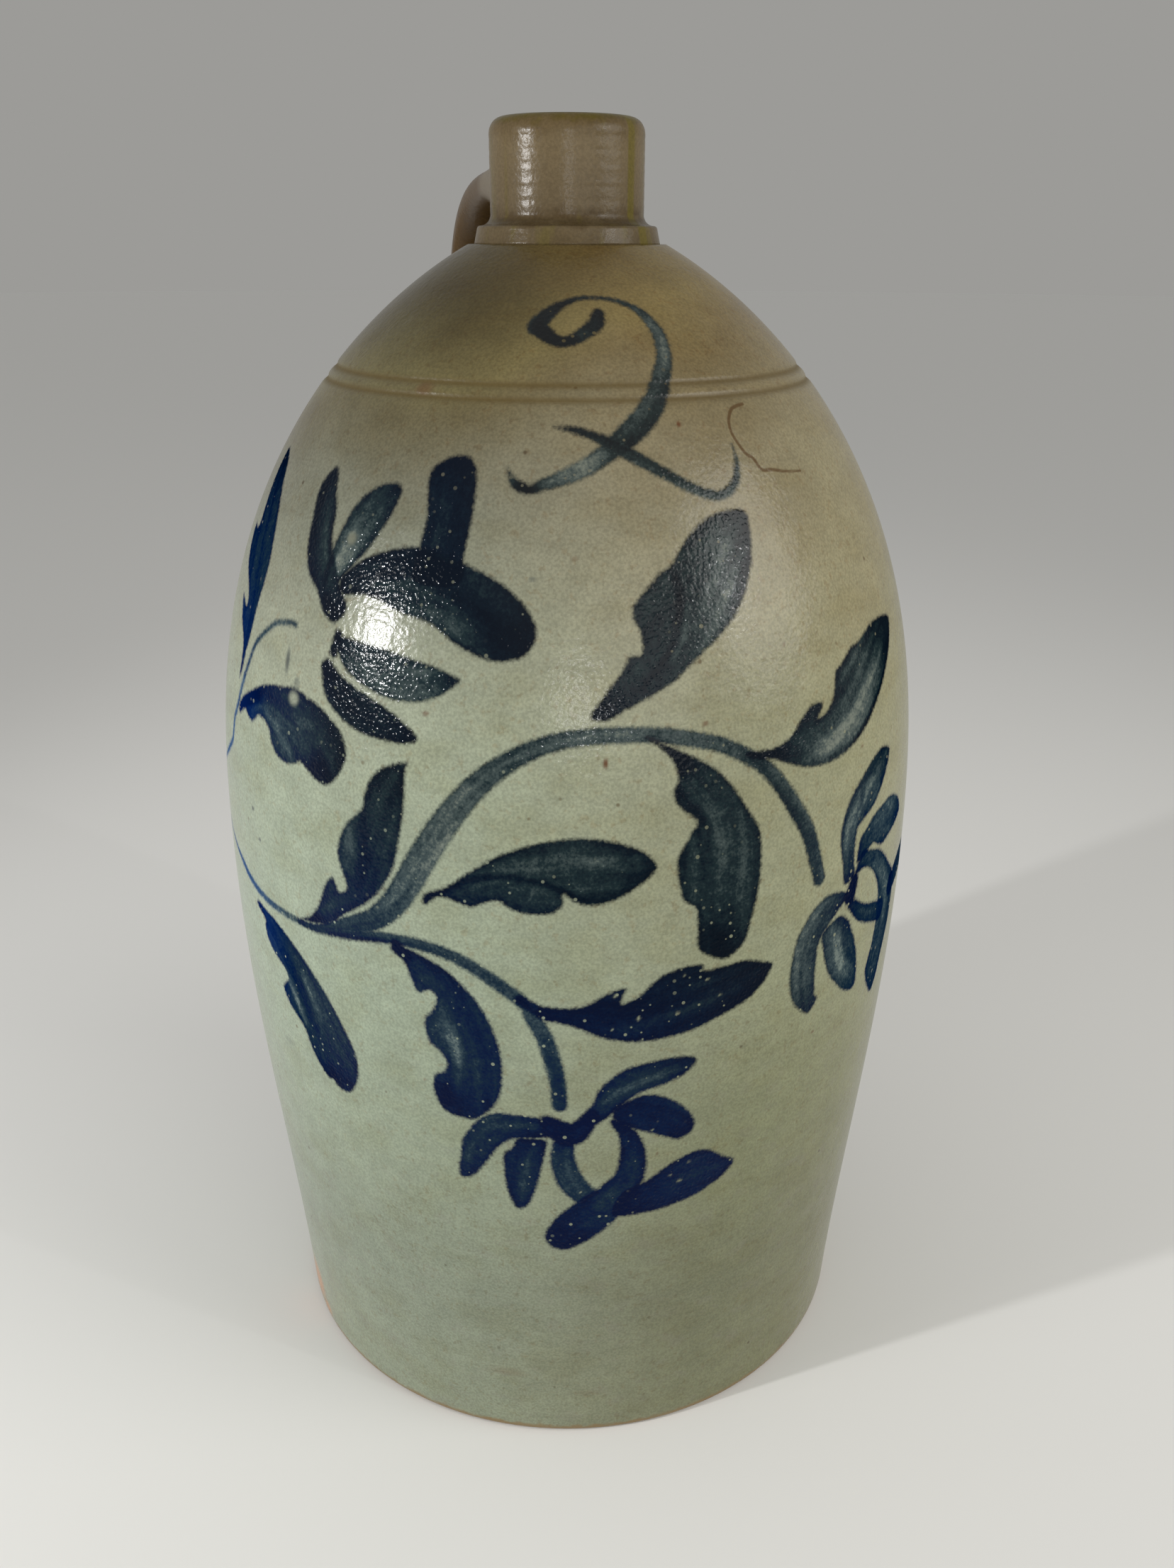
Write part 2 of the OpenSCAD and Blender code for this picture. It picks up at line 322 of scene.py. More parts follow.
# The leaves, from the upper left to the lower right
LEAVES = (
    Blade(
        ((-86.5, 283.9), (-82.1, 281.2), (-78.8, 275.5), (-75.4, 268.2), (-73.3, 259.7),
         (-73.1, 253.5), (-74, 245.8), (-74.6, 239.7), (-75.8, 233.5), (-76.9, 227.4),
         (-78.1, 225.1), (-77.7, 230.5), (-77.9, 234.7), (-79, 237.4), (-80.8, 240.5),
         (-82.9, 246.6), (-79.4, 244.3), (-79.6, 247.4), (-81.3, 250), (-85, 254.3),
         (-87.5, 259.7), (-88.1, 263.9), (-85.4, 263.2), (-84.6, 265.1), (-85.2, 268.9),
         (-86.5, 274.3), (-87.1, 279.7)),
        ((-78.1, 225), (-77.3, 238), (-77.2, 248), (-79, 259), (-81.5, 270), (-84.5, 279),
         (-86.5, 284)), Paint.PETAL),
    Blade(
        ((-77.1, 218.2), (-75, 222), (-71.7, 225), (-68.3, 227.8), (-65, 229.3), (-61.7, 230),
         (-59.2, 230.8), (-56.3, 229.7), (-53.3, 228.2), (-50, 225), (-48.3, 222),
         (-47.7, 218.2), (-48.1, 215), (-49.8, 210.5), (-51.7, 208.5), (-53.8, 209.3),
         (-55.6, 211.2), (-57.1, 212.4), (-58.3, 211.2), (-60.4, 210.5), (-62.9, 211.6),
         (-64.6, 214.3), (-65.2, 217), (-66.7, 218.9), (-68.8, 219.3), (-69.8, 217.8),
         (-71.3, 216.6), (-72.7, 217.4), (-74.2, 218.5), (-76.3, 216.2)),
        ((-77, 217.5), (-72, 221), (-66, 224.5), (-60, 223), (-56, 219.5), (-53, 214.5),
         (-51.6, 208.5))),
    Blade(
        ((-58.6, 167.3), (-56, 170), (-53.8, 175), (-52.5, 180.5), (-50.8, 184.1),
         (-49.8, 181.4), (-49.3, 180.5), (-48, 182.7), (-49, 187.7), (-49.5, 191.4),
         (-49, 195.9), (-47.5, 200.5), (-45, 205), (-44.5, 208.6), (-43.5, 213.2),
         (-41.5, 216.8), (-38, 219.1), (-37.5, 218.6), (-37.8, 216.8), (-38, 207.7),
         (-38.8, 198.6), (-40, 190.5), (-42.5, 183.2), (-45.5, 178.2), (-48.5, 174.5),
         (-50.5, 171.4), (-53.5, 168.6)),
        ((-58.6, 167.3), (-54, 171), (-50, 176.5), (-46.5, 184), (-44.5, 193), (-42.8, 202),
         (-40.8, 210.5), (-38, 219))),
    Blade(
        ((-72.6, 161.9), (-71.8, 163.6), (-69.7, 163), (-66.3, 161.9), (-63, 159.6),
         (-59.7, 156.2), (-56.8, 151.9), (-54.3, 147.3), (-52.2, 141.9), (-50.5, 136.5),
         (-49.3, 131.9), (-49, 127.3), (-49.3, 122.7), (-50.7, 118), (-52.2, 115.9),
         (-54.3, 116.4), (-55.3, 118), (-56.3, 117.7), (-58, 120.4), (-59.3, 123.5),
         (-60.3, 127.3), (-60.9, 130.4), (-62.6, 133), (-64.7, 135.8), (-66.1, 140),
         (-65.1, 142.7), (-64, 144.6), (-64.5, 146.9), (-65.9, 148.5), (-68, 150.4),
         (-69.7, 153.5), (-70.1, 156.9), (-69.9, 159.2)),
        ((-72.6, 162.5), (-68, 158.5), (-64, 152), (-60.5, 145), (-58, 137), (-55.8, 129),
         (-53.5, 121.5), (-52.2, 116))),
    Blade(
        ((-35.5, 184.1), (-35, 186), (-32, 188.6), (-29, 192.7), (-25, 197.7), (-21, 200.9),
         (-17, 202.7), (-13.5, 203.2), (-10, 202.5), (-7, 200.9), (-4.5, 198.6), (-3, 195),
         (-3.8, 192.3), (-5.5, 190), (-7.5, 187.7), (-10, 185.9), (-12.5, 185.5),
         (-14.5, 186.8), (-15.8, 188.6), (-15.8, 185.5), (-17.5, 183.2), (-20.5, 183),
         (-22.8, 184.1), (-24.3, 185.9), (-25.5, 185.9), (-26.8, 185), (-28.3, 183.8),
         (-30, 184.5), (-32, 185.5), (-33.5, 185), (-35, 182.7)),
        ((-35.5, 184.1), (-30, 189.2), (-24, 193), (-17, 194.5), (-10, 194.5), (-3, 195))),
    Blade(
        ((-4.3, 227.3), (-2.5, 224.1), (-1, 221.4), (0, 216.8), (-0.8, 213.2), (0, 209.5),
         (2.5, 205.5), (2, 203), (0, 197), (-0.1, 192), (0.8, 185), (2.7, 182), (3, 176),
         (3.2, 170.8), (5, 168), (7.7, 166.3), (10.5, 170), (11.5, 176), (12.5, 184),
         (12.8, 192), (12.5, 200), (11, 205), (10, 207.7), (8, 213.2), (5, 218.6),
         (1.5, 222.3)),
        ((-4, 227), (-0.5, 221), (3, 214), (6, 206), (7, 196), (7, 185), (7.3, 175),
         (7.7, 166.5))),
    Blade(
        ((-12, 232.7), (-10, 231.2), (-7.5, 233.2), (-3.5, 236.4), (0, 239.5), (3.5, 244.1),
         (7, 248.2), (10, 252.3), (12.5, 257.3), (14.5, 263.2), (15.5, 268.6), (16, 274.1),
         (15, 275.9), (12.5, 276.1), (9.5, 275.5), (6.5, 273.6), (4, 270.9), (2.3, 268.2),
         (1, 265.5), (-0.8, 264.1), (-2.5, 261.8), (-4.3, 259.1), (-5.5, 256.8),
         (-5.6, 254.1), (-4.8, 251.4), (-4.5, 248.6), (-4.8, 245.9), (-6.3, 245.9),
         (-7.5, 242.7), (-9, 239.5)),
        ((-12, 232), (-6, 237.5), (-1, 245), (3, 252), (6, 259), (9, 265.5), (12.5, 271.5),
         (15.6, 275.8))),
    Blade(
        ((10.3, 220.5), (15, 220.5), (18, 222.3), (20, 225.5), (22.3, 228.5), (24.5, 228.8),
         (24.8, 227.3), (23.8, 225), (25.5, 225.9), (27, 228.2), (27.8, 231.4), (28.3, 235),
         (30, 236.4), (33, 239.5), (35, 240), (37.5, 241.4), (40, 243), (44, 243.4),
         (47.5, 242.7), (48.8, 240.9), (48, 237.7), (46.5, 234.1), (44, 229.5), (41, 225),
         (38, 220.9), (35, 217.3), (31.5, 214.5), (28, 212.9), (24.5, 212.5), (21, 213.2),
         (18, 215), (15, 217.3), (12, 218.6)),
        ((10.3, 220), (18, 218.5), (25, 219.5), (31, 224), (36, 230), (41, 236), (48, 242))),
    Blade(
        ((-40.9, 169.6), (-40.1, 171.2), (-38.6, 170), (-35.9, 168.3), (-32.7, 165.8),
         (-30, 161.7), (-27.7, 156.7), (-25.9, 150), (-24.8, 142.5), (-24.6, 135),
         (-25.2, 128.3), (-26.8, 123.3), (-29.5, 119.6), (-33.2, 120.4), (-34.8, 123.3),
         (-35.5, 128.3), (-35, 132.5), (-33.6, 134), (-33, 137), (-34.1, 140.4),
         (-35.5, 142.5), (-36.1, 146.7), (-35.9, 150), (-34.5, 153.3), (-34.1, 156.7),
         (-35, 158.3), (-36.8, 157.1), (-37.9, 161), (-38.8, 165), (-40.9, 168)),
        ((-40.9, 170), (-36.5, 165.5), (-33, 158), (-31, 150), (-29.8, 142), (-29.5, 134),
         (-30, 126), (-30.5, 119.8))),
    Blade(
        ((-19.1, 157.1), (-15.5, 156.8), (-12.7, 157.5), (-10.5, 160), (-8.2, 161.7),
         (-7, 161.7), (-7.7, 157.5), (-5, 159.6), (-3.2, 162.9), (-0.9, 165.4), (2.3, 166.3),
         (4.1, 165.8), (4.3, 164.2), (7.3, 164.4), (10.9, 164.6), (13.6, 162.9),
         (15.5, 161.7), (15.7, 160), (14.1, 155.8), (11.4, 152.1), (7.7, 149.6),
         (3.6, 147.1), (-0.9, 145.7), (-5, 145.4), (-8.2, 146.3), (-10.9, 147.9),
         (-13.6, 150.4), (-16.4, 152.1), (-19, 153.3)),
        ((-19.1, 155), (-13, 153.2), (-7, 152), (-1, 154), (5, 156.5), (11, 158.5),
         (15.7, 161)), Paint.DARK),
)

# The flower at the upper left, with the broad petal that lies under the glare
UPPER_FLOWER = (
    Blade(
        ((-62.1, 282.9), (-64.1, 278.2), (-63.3, 271.2), (-62.1, 263.5), (-60, 258.2),
         (-57.3, 255), (-55.2, 250.8), (-53.3, 248.9), (-51.7, 248.9), (-50.2, 252.8),
         (-53, 259), (-55.3, 264), (-56.3, 267), (-56.7, 268.2), (-57.3, 273.5),
         (-58.8, 277.4), (-60.4, 282.4)),
        ((-62, 283), (-61, 272), (-58.8, 264), (-55.5, 256), (-52.3, 249)), Paint.PETAL),
    Stroke(
        ((-45.8, 279.6, 4.6), (-47.6, 277.2, 8.8), (-49.7, 273.5, 11.5), (-51.3, 268.9, 11),
         (-53, 264.3, 9), (-54.5, 259.7, 7), (-54.7, 255, 5)), Paint.WASH),
    Blade(
        ((-39.6, 284.3), (-38.4, 286.6), (-35.6, 288.3), (-32.8, 288.3), (-31, 285.8),
         (-30.4, 281), (-30.5, 275), (-31, 268), (-31.6, 261), (-38.8, 261), (-38.8, 268),
         (-38.5, 275), (-39.3, 280.5)),
        ((-35.3, 288), (-34.9, 278), (-34.9, 270), (-35.1, 260)), Paint.DARK),
    Stroke(
        ((-50.9, 258.2, 6), (-47.2, 260.5, 9.3), (-43, 261.2, 13), (-38.8, 260.8, 16.5),
         (-34.7, 259.7, 16.5), (-31.3, 257.4, 17), (-28, 254.7, 18), (-25.2, 252.3, 16.4),
         (-23.4, 251, 13)), Paint.PETAL),
    Stroke(((-51.1, 246.2, 2.8), (-51.5, 242, 3.2)), Paint.PETAL),
    Stroke(
        ((-51, 245, 3), (-47.2, 241.6, 8.6), (-43, 239.8, 11), (-39.4, 238.7, 11),
         (-35, 238.6, 8.4), (-30.7, 239.6, 1.8)), Paint.WASH),
    Stroke(
        ((-52.6, 238.2, 4), (-50.5, 233.5, 8), (-47.6, 230.5, 9.5), (-44.3, 228.5, 9.5),
         (-40.9, 227, 7.5), (-38, 225.5, 4.5), (-36.6, 225.1, 1.8)), Paint.PETAL),
)

# The flower that goes out of sight round the right side
RIGHT_FLOWER = (
    Blade(
        ((30.2, 175.8), (29.4, 181.7), (28.7, 186.7), (28.5, 191.7), (29.6, 197.5),
         (31.3, 201.3), (34.2, 205), (37.5, 208.3), (40.8, 209.6), (43.5, 207.9),
         (43.5, 205.8), (42.5, 202.5), (40, 197.5), (37.5, 194.2), (34.6, 192.1),
         (32.9, 190), (32.5, 182), (33, 177)),
        ((31.8, 175), (31, 184), (31.5, 193), (35.5, 200.5), (43, 208.5)), Paint.WASH),
    Blade(
        ((33.3, 180), (33.8, 186.7), (35.8, 189.2), (38.3, 191.7), (41.7, 192.9),
         (44.6, 193.3), (47.5, 191.7), (49.6, 189.2), (50.8, 185.8), (50.4, 184.2),
         (48.3, 182.5), (45.4, 181.3), (42.1, 180.2), (40, 181.3), (38.3, 182.9),
         (36, 181.5)),
        ((33.3, 180), (36.5, 186), (43, 188), (50, 187)), Paint.WASH),
    Blade(
        ((33, 178), (35, 182.9), (37.5, 181.7), (40.4, 180), (43.3, 176.7), (46.3, 171.7),
         (49.2, 167.5), (50.8, 163), (50.8, 153.3), (50, 146.7), (48.3, 140), (47.1, 133.3),
         (45, 129.6), (42.5, 133.8), (40.8, 138.3), (40.4, 142.5), (41.7, 148.3),
         (42.3, 155), (42.1, 163.3), (41.7, 166.7), (40.4, 170.8), (38.3, 175),
         (35.8, 177.1), (33.3, 176.7)),
        ((33, 178), (39.5, 178), (44.5, 169), (46.8, 158), (45.8, 146), (44.5, 136),
         (45, 130)), Paint.WASH),
    Stroke(((32.6, 168.6, 4), (36, 163.5, 5.5), (40, 160.5, 6.5), (43.5, 158.5, 7)),
           Paint.WASH),
    Blade(
        ((31.7, 171.7), (30.4, 173.8), (27.9, 175), (25.8, 175), (23.3, 172.9),
         (21.3, 169.2), (20, 165), (19.3, 158.3), (19.3, 152.5), (20.2, 146.7),
         (22.1, 142.5), (24.2, 140.3), (25.9, 143.8), (25.2, 145.8), (24.8, 151.7),
         (24.8, 157.5), (25.2, 162.5), (28.8, 168.3)),
        ((31.7, 172), (26.5, 171.5), (22.8, 165), (22, 156), (22.5, 148), (24, 140.5)),
        Paint.WASH),
    Blade(
        ((29.5, 167), (25.6, 164.2), (26, 159.2), (26.9, 154.2), (28.3, 149.2), (30.4, 145),
         (32.9, 140.8), (35.8, 138.8), (36.9, 140.4), (36.7, 145), (35.8, 151.7),
         (34.6, 156.7), (33.3, 160.8), (32.1, 164.2)),
        ((30.8, 169), (29.3, 160), (31, 151.5), (34, 145), (36.3, 139.5)), Paint.WASH),
    Stroke(
        ((49, 163, 8), (54, 165.5, 10), (58, 165.8, 10), (62, 162.5, 10), (66, 156.5, 10),
         (69, 150, 8), (70.5, 145, 4)), Paint.WASH),
    Stroke(((33, 175.5, 4.4), (32.1, 171.4, 6)), Paint.DARK),
)

# The flower low on the front; its middle is a pointed oval of bare clay
LOWER_FLOWER = (
    Blade(
        ((-13.8, 121.2), (-12.8, 124.4), (-11.6, 126.7), (-10.9, 130.8), (-9.1, 134.6),
         (-6.8, 137.5), (-3.6, 138.8), (0, 139.4), (2.7, 138.9), (3.9, 137.5), (3.4, 135.4),
         (1.8, 132.9), (-1.4, 130.8), (-4.5, 129.2), (-6.6, 126.6), (-8, 124), (-11.4, 119.4)),
        ((-13.6, 119.6), (-11, 125), (-7, 131), (-1.5, 135), (3.9, 137.5))),
    Blade(
        ((-8.6, 124.6), (-6.2, 127.4), (-4.1, 128.5), (-1.8, 127.9), (0.9, 125),
         (3.2, 120.8), (4.3, 116.7), (3.9, 113.3), (1.8, 111.7), (0, 112.9), (-2.3, 115),
         (-4.5, 116.7), (-8, 120)),
        ((-9, 123), (-4, 122.5), (0, 119), (3.5, 113)), Paint.PETAL),
    Blade(
        ((-8, 87.4), (-7, 95), (-2.7, 99.2), (-0.5, 102.1), (2.3, 105), (5, 106.3),
         (7.3, 105.4), (10, 101.7), (12.2, 98.8), (10.5, 94.6), (7.7, 91.7), (5.5, 90),
         (0.9, 87.9), (-2.7, 87.1)),
        ((-5.5, 90), (0, 93.5), (5, 97.5), (12, 99)), Paint.DARK),
    Stroke(
        ((-15.6, 116.5, 5.6), (-16, 110, 6.6), (-15.7, 105.5, 7.2), (-14.6, 100, 7.6),
         (-12.4, 95, 7), (-10, 91, 6)), Paint.WASH),
    Stroke(
        ((-8.4, 120.4, 2.4), (-6.6, 117, 4.6), (-5.6, 112, 6.6), (-5.3, 106, 8),
         (-6, 100, 9), (-8.2, 94.4, 11), (-11, 89, 13), (-13.8, 84.4, 13),
         (-16, 80.4, 10.4)), Paint.PETAL),
    Blade(
        ((-16.8, 121), (-18, 121.8), (-20, 122.5), (-22.7, 122.9), (-25.9, 122.9),
         (-28.2, 120.8), (-30, 116.7), (-31.4, 112.5), (-32, 105.8), (-32.4, 101.3),
         (-31.8, 98.8), (-30, 100), (-28.2, 104.2), (-26.8, 108.3), (-25.5, 111.7),
         (-23.2, 114.6), (-19, 115.4), (-17, 117)),
        ((-16, 119), (-20, 119), (-26, 117.5), (-29, 111), (-31, 103), (-32, 99))),
    Blade(
        ((-22.7, 115), (-23.6, 111.7), (-25, 109.2), (-25.1, 103.3), (-24.8, 97.5),
         (-24.1, 92.5), (-23, 90), (-21.4, 91.7), (-20, 98.3), (-19.3, 104.2),
         (-18.6, 110), (-18.5, 115)),
        ((-19.5, 117), (-21.3, 110), (-22.3, 100), (-23, 90)), Paint.LEAF),
    Stroke(((-18.2, 121, 4.6), (-16.4, 118, 7.4), (-14.6, 116.8, 7.8), (-12.8, 119.6, 6),
            (-11.8, 122.8, 4.4)), Paint.DARK),
)

# Pools and thin places inside the strokes
POOLS = (
    Pool(((-14, 313, 4), (-18.8, 313.6, 5), (-22.6, 316, 6)), 0.52),
    Pool(((5.8, 304.8, 5), (3.6, 301.2, 4)), 0.16),
    Pool(((-2, 290.5, 5), (-6, 291.5, 4)), 0.06),
    Pool(((-21, 282, 3), (-23.3, 282.5, 3.4)), 0.40),
    Pool(((-22.5, 317, 4), (-18, 320.4, 3), (-13, 321.8, 2)), 0.36),
    Pool(((7.5, 317.5, 4), (9, 312, 4), (7.6, 307.5, 4)), -0.14),
    Pool(((4, 283.2, 3), (9, 280, 3), (14, 280.6, 3)), -0.12),
    Pool(((-9, 288.6, 5), (-13, 286, 6), (-18.5, 283.2, 5)), -0.46),
    Pool(((-54.7, 254, 3), (-52.6, 250, 5)), 0.30),
    Pool(((-62.8, 279, 2), (-62.6, 271, 2.4), (-60.8, 262, 2.4), (-58, 256.6, 2)), 0.22),
    Pool(((-52.5, 272, 4), (-53, 266, 5), (-54.2, 261, 4)), -0.20),
    Pool(((-44, 262.5, 6), (-38, 264, 6), (-34, 262, 6), (-27, 255, 6)), 0.20),
    Pool(((-48, 258, 5), (-40, 257, 6), (-33, 254, 6), (-28, 251, 5)), -0.2),
    Pool(((-27, 250, 8), (-23, 250, 8)), 0.08),
    Pool(((-77, 217.6, 4), (-73.6, 221, 5), (-69, 224.6, 4)), 0.34),
    Pool(((-54, 214, 5), (-52, 211.5, 6)), 0.38),
    Pool(((-66.7, 221.5, 2), (-63, 218.5, 2.6), (-59.5, 215, 2.4)), -0.26),
    Pool(((-58.7, 223.6, 2.4), (-55, 222, 2.4)), -0.22),
    Pool(((-58, 168, 3), (-54, 171.4, 4)), 0.36),
    Pool(((-52, 167, 2.4), (-46, 168.4, 2.4), (-42, 170, 2)), 0.40),
    Pool(((-44.6, 202, 3), (-44.4, 192, 3), (-46.4, 184, 3)), 0.20),
    Pool(((-47.6, 200, 3.4), (-47.2, 193, 3.6), (-49, 186, 3.4)), -0.20),
    Pool(((-64.5, 148, 2.2), (-62.6, 141, 3), (-60.5, 133, 2.4)), -0.26),
    Pool(((-59.5, 150, 2.2), (-57.4, 141, 3), (-55.8, 132, 2.4)), -0.26),
    Pool(((-56.5, 121, 6), (-52.5, 119.5, 6)), 0.24),
    Pool(((-35.3, 183.6, 3), (-32, 188.2, 2), (-28, 191.6, 1.6), (-23, 192.8, 1.6),
          (-19, 191.6, 1.6), (-16.5, 190, 1.6), (-13.5, 187.4, 1.8), (-10, 186.8, 2)), 0.34),
    Pool(((-25, 195, 4), (-17, 199, 5), (-9, 198, 4)), -0.14),
    Pool(((-20.6, 186.8, 4), (-17.8, 186, 3)), -0.08),
    Pool(((-3.6, 226.6, 3), (-0.4, 221, 5), (1.6, 218, 5)), 0.34),
    Pool(((3.6, 176, 5), (6, 171, 8)), 0.24),
    Pool(((8.6, 203, 6), (9, 193, 7), (9, 184, 6)), -0.12),
    Pool(((-4.6, 238.6, 1.8), (-0.6, 246, 1.8), (1.3, 253, 2), (1.5, 261, 2), (0.5, 264.4, 2)),
         0.34),
    Pool(((2.6, 256, 2.4), (1.6, 250, 2.4), (-0.4, 244, 2)), -0.24),
    Pool(((9.5, 247, 4), (13, 256, 4), (15, 263, 4)), 0.20),
    Pool(((4.5, 243, 5), (8, 256, 7), (10.5, 268, 7)), -0.26),
    Pool(((17, 216.5, 5), (24, 216.4, 6), (31, 221, 7), (37, 227.5, 7), (42, 234, 6)), -0.44),
    Pool(((8, 268, 7), (12, 272.5, 7)), -0.20),
    Pool(((11, 219.8, 3), (17, 217.4, 4), (22, 216, 4)), 0.26),
    Pool(((26, 213.6, 1.8), (33, 216.4, 1.8), (38.4, 222.2, 1.8), (43.4, 229.4, 1.8),
          (47.6, 237.8, 1.8)), 0.34),
    Pool(((31, 233, 6), (37, 236, 6)), -0.14),
    Pool(((-40.4, 169.8, 3), (-38, 166.6, 4)), 0.30),
    Pool(((-33.6, 129, 5), (-32.6, 124, 6)), 0.36),
    Pool(((-33, 150, 3), (-31.5, 143, 3.4), (-31, 137, 3)), -0.22),
    Pool(((33, 196, 2.4), (34.4, 200.4, 2.4)), 0.24),
    Pool(((39.6, 199.4, 2), (36, 194.4, 2)), -0.24),
    Pool(((-10, 127, 3), (-6, 131, 3), (-1, 134, 3)), -0.16),
    Pool(((-13, 111, 2), (-12.6, 104, 2.4), (-10.6, 98, 2.6)), -0.18),
    Pool(((-16.6, 78, 6), (-12, 81, 5)), 0.20),
    Pool(((-29, 118, 5), (-30.8, 110, 4)), 0.14),
    Pool(((-17.6, 118.6, 3), (-22, 119, 3.4), (-26, 117.6, 3)), -0.18),
    Pool(((-7.6, 96.6, 4), (-10.4, 91, 5)), -0.20),
    Pool(((-5.4, 109, 3), (-5.6, 102, 3.6)), -0.12),
    Pool(((27.6, 165.4, 5), (29.6, 158, 6), (31.4, 150, 5)), -0.26),
    Pool(((29.4, 172, 3), (25, 172, 3), (22.4, 166, 3)), -0.12),
    Pool(((36, 179, 4), (42, 173, 4), (46, 164, 5), (46.4, 154, 5)), -0.16),
    Pool(((30.8, 180, 4), (30.4, 190, 4), (32.6, 197.5, 4), (37, 202.5, 3)), -0.3),
    Pool(((-52, 256, 4), (-50, 260, 4)), -0.12),
    Pool(((-43, 176, 6), (-38.5, 186, 7), (-34.6, 197.4, 7), (-29, 212.4, 5)), -0.1),
)

# Brown iron specks, the stain beside the rings and two faint smears near the foot
IRON_MARKS = (
    Mark(6.8, 295, 1.2, 1.2),
    Mark(-10, 221.4, 1, 2.6),
    Mark(4.2, 229.1, 1.6, 1.2, 0.7),
    Mark(-35, 231.4, 1.8, 1.2, 0.7),
    Mark(25.8, 132.9, 1.3, 0.9, 0.8),
    Mark(34, 213.1, 1.4, 0.9, 0.6),
    Mark(18.3, 244.5, 0.9, 0.9, 0.6),
    Mark(-14, 267.3, 1.6, 1, 0.35),
    Mark(-47, 302, 5, 2.6, 0.5),
    Mark(-1.5, 107.9, 0.8, 0.8, 0.6),
    Mark(-36.8, 130, 1, 1, 0.5),
    Mark(-26.5, 24, 13, 2.4, 0.28),
    Mark(-12, 17, 9, 1.6, 0.2),
)

# Where the skin scraped off at the foot and the clay shows orange
SCRAPES = (
    Mark(-82.5, 10, 13, 13, 0.9),
    Mark(-77, 4, 7, 4, 0.7),
)

# Grey smudges of cobalt that dripped or were touched
SMUDGES = (
    Mark(-61.6, 236.6, 1.8, 6, 0.85),
    Mark(-58.8, 232, 2.4, 3, 0.5),
    Mark(-20.3, 262.8, 1.6, 1, 0.5),
    Mark(-71, 192, 1.6, 1.4, 0.95),
    Mark(-69, 184, 1.6, 1.2, 0.9),
    Mark(-67, 121, 6, 2, 0.3),
)

# Pale bare spots where the cobalt didn't take
BARE_MARKS = (
    Mark(-59.2, 228, 3.8, 3.4, 0.8),
    Mark(-52.1, 268.2, 3, 2.8, 0.7),
    Mark(-8.6, 159.8, 0.9, 0.9, 0.85),
    Mark(-5.2, 152.7, 0.9, 1.2, 0.85),
    Mark(0.5, 152.7, 1, 0.9, 0.85),
    Mark(4.8, 161.3, 0.9, 0.7, 0.85),
    Mark(7, 156, 0.6, 0.8, 0.8),
    Mark(-8.9, 150, 0.6, 0.6, 0.8),
    Mark(1.4, 163.8, 0.6, 0.6, 0.8),
    Mark(2.5, 96.7, 1.4, 0.9, 0.85),
    Mark(3.9, 102.9, 0.9, 0.6, 0.85),
    Mark(0.9, 99.2, 0.9, 0.6, 0.8),
    Mark(-13.2, 96.7, 0.6, 0.7, 0.85),
    Mark(-2.5, 116.3, 0.7, 0.7, 0.85),
    Mark(-34, 136.4, 1.9, 2.2, 0.85),
)

# The hairline in the glaze right of the figure
HAIRLINE = (
    (23.8, 298.3, 0.6), (21.9, 298, 0.7), (20, 297.3, 0.7), (18.3, 295, 0.6),
    (17.9, 292.5, 0.6), (18.5, 290, 0.6), (19.6, 287.5, 0.7), (20.8, 286.5, 0.7),
    (22, 283.8, 0.7), (24.4, 283.5, 0.7), (28.1, 282.6, 0.6), (31.9, 282.2, 0.5),
)


def spline(points: tuple[tuple[float, ...], ...], spans: int, closed: bool = False) -> np.ndarray:
    """A smooth line through points.

    Args:
        points: The points, each with the same number of values.
        spans: How many steps to make between two points.
        closed: Whether the line comes back to its first point.

    Returns:
        The points of a Catmull-Rom curve, as rows.
    """
    p = np.asarray(points, float)
    if closed:
        ends = np.concatenate([p[-1:], p, p[:2]])
    else:
        ends = np.concatenate([[2 * p[0] - p[1]], p, [2 * p[-1] - p[-2]]])
    t = np.arange(spans)[:, None] / spans
    rows = []
    for a, b, c, d in zip(ends, ends[1:], ends[2:], ends[3:]):
        square = (2 * a - 5 * b + 4 * c - d) * t**2
        cube = (3 * b - a - 3 * c + d) * t**3
        rows.append(0.5 * (2 * b + (c - a) * t + square + cube))
    return np.concatenate(rows if closed else [*rows, p[-1:]])


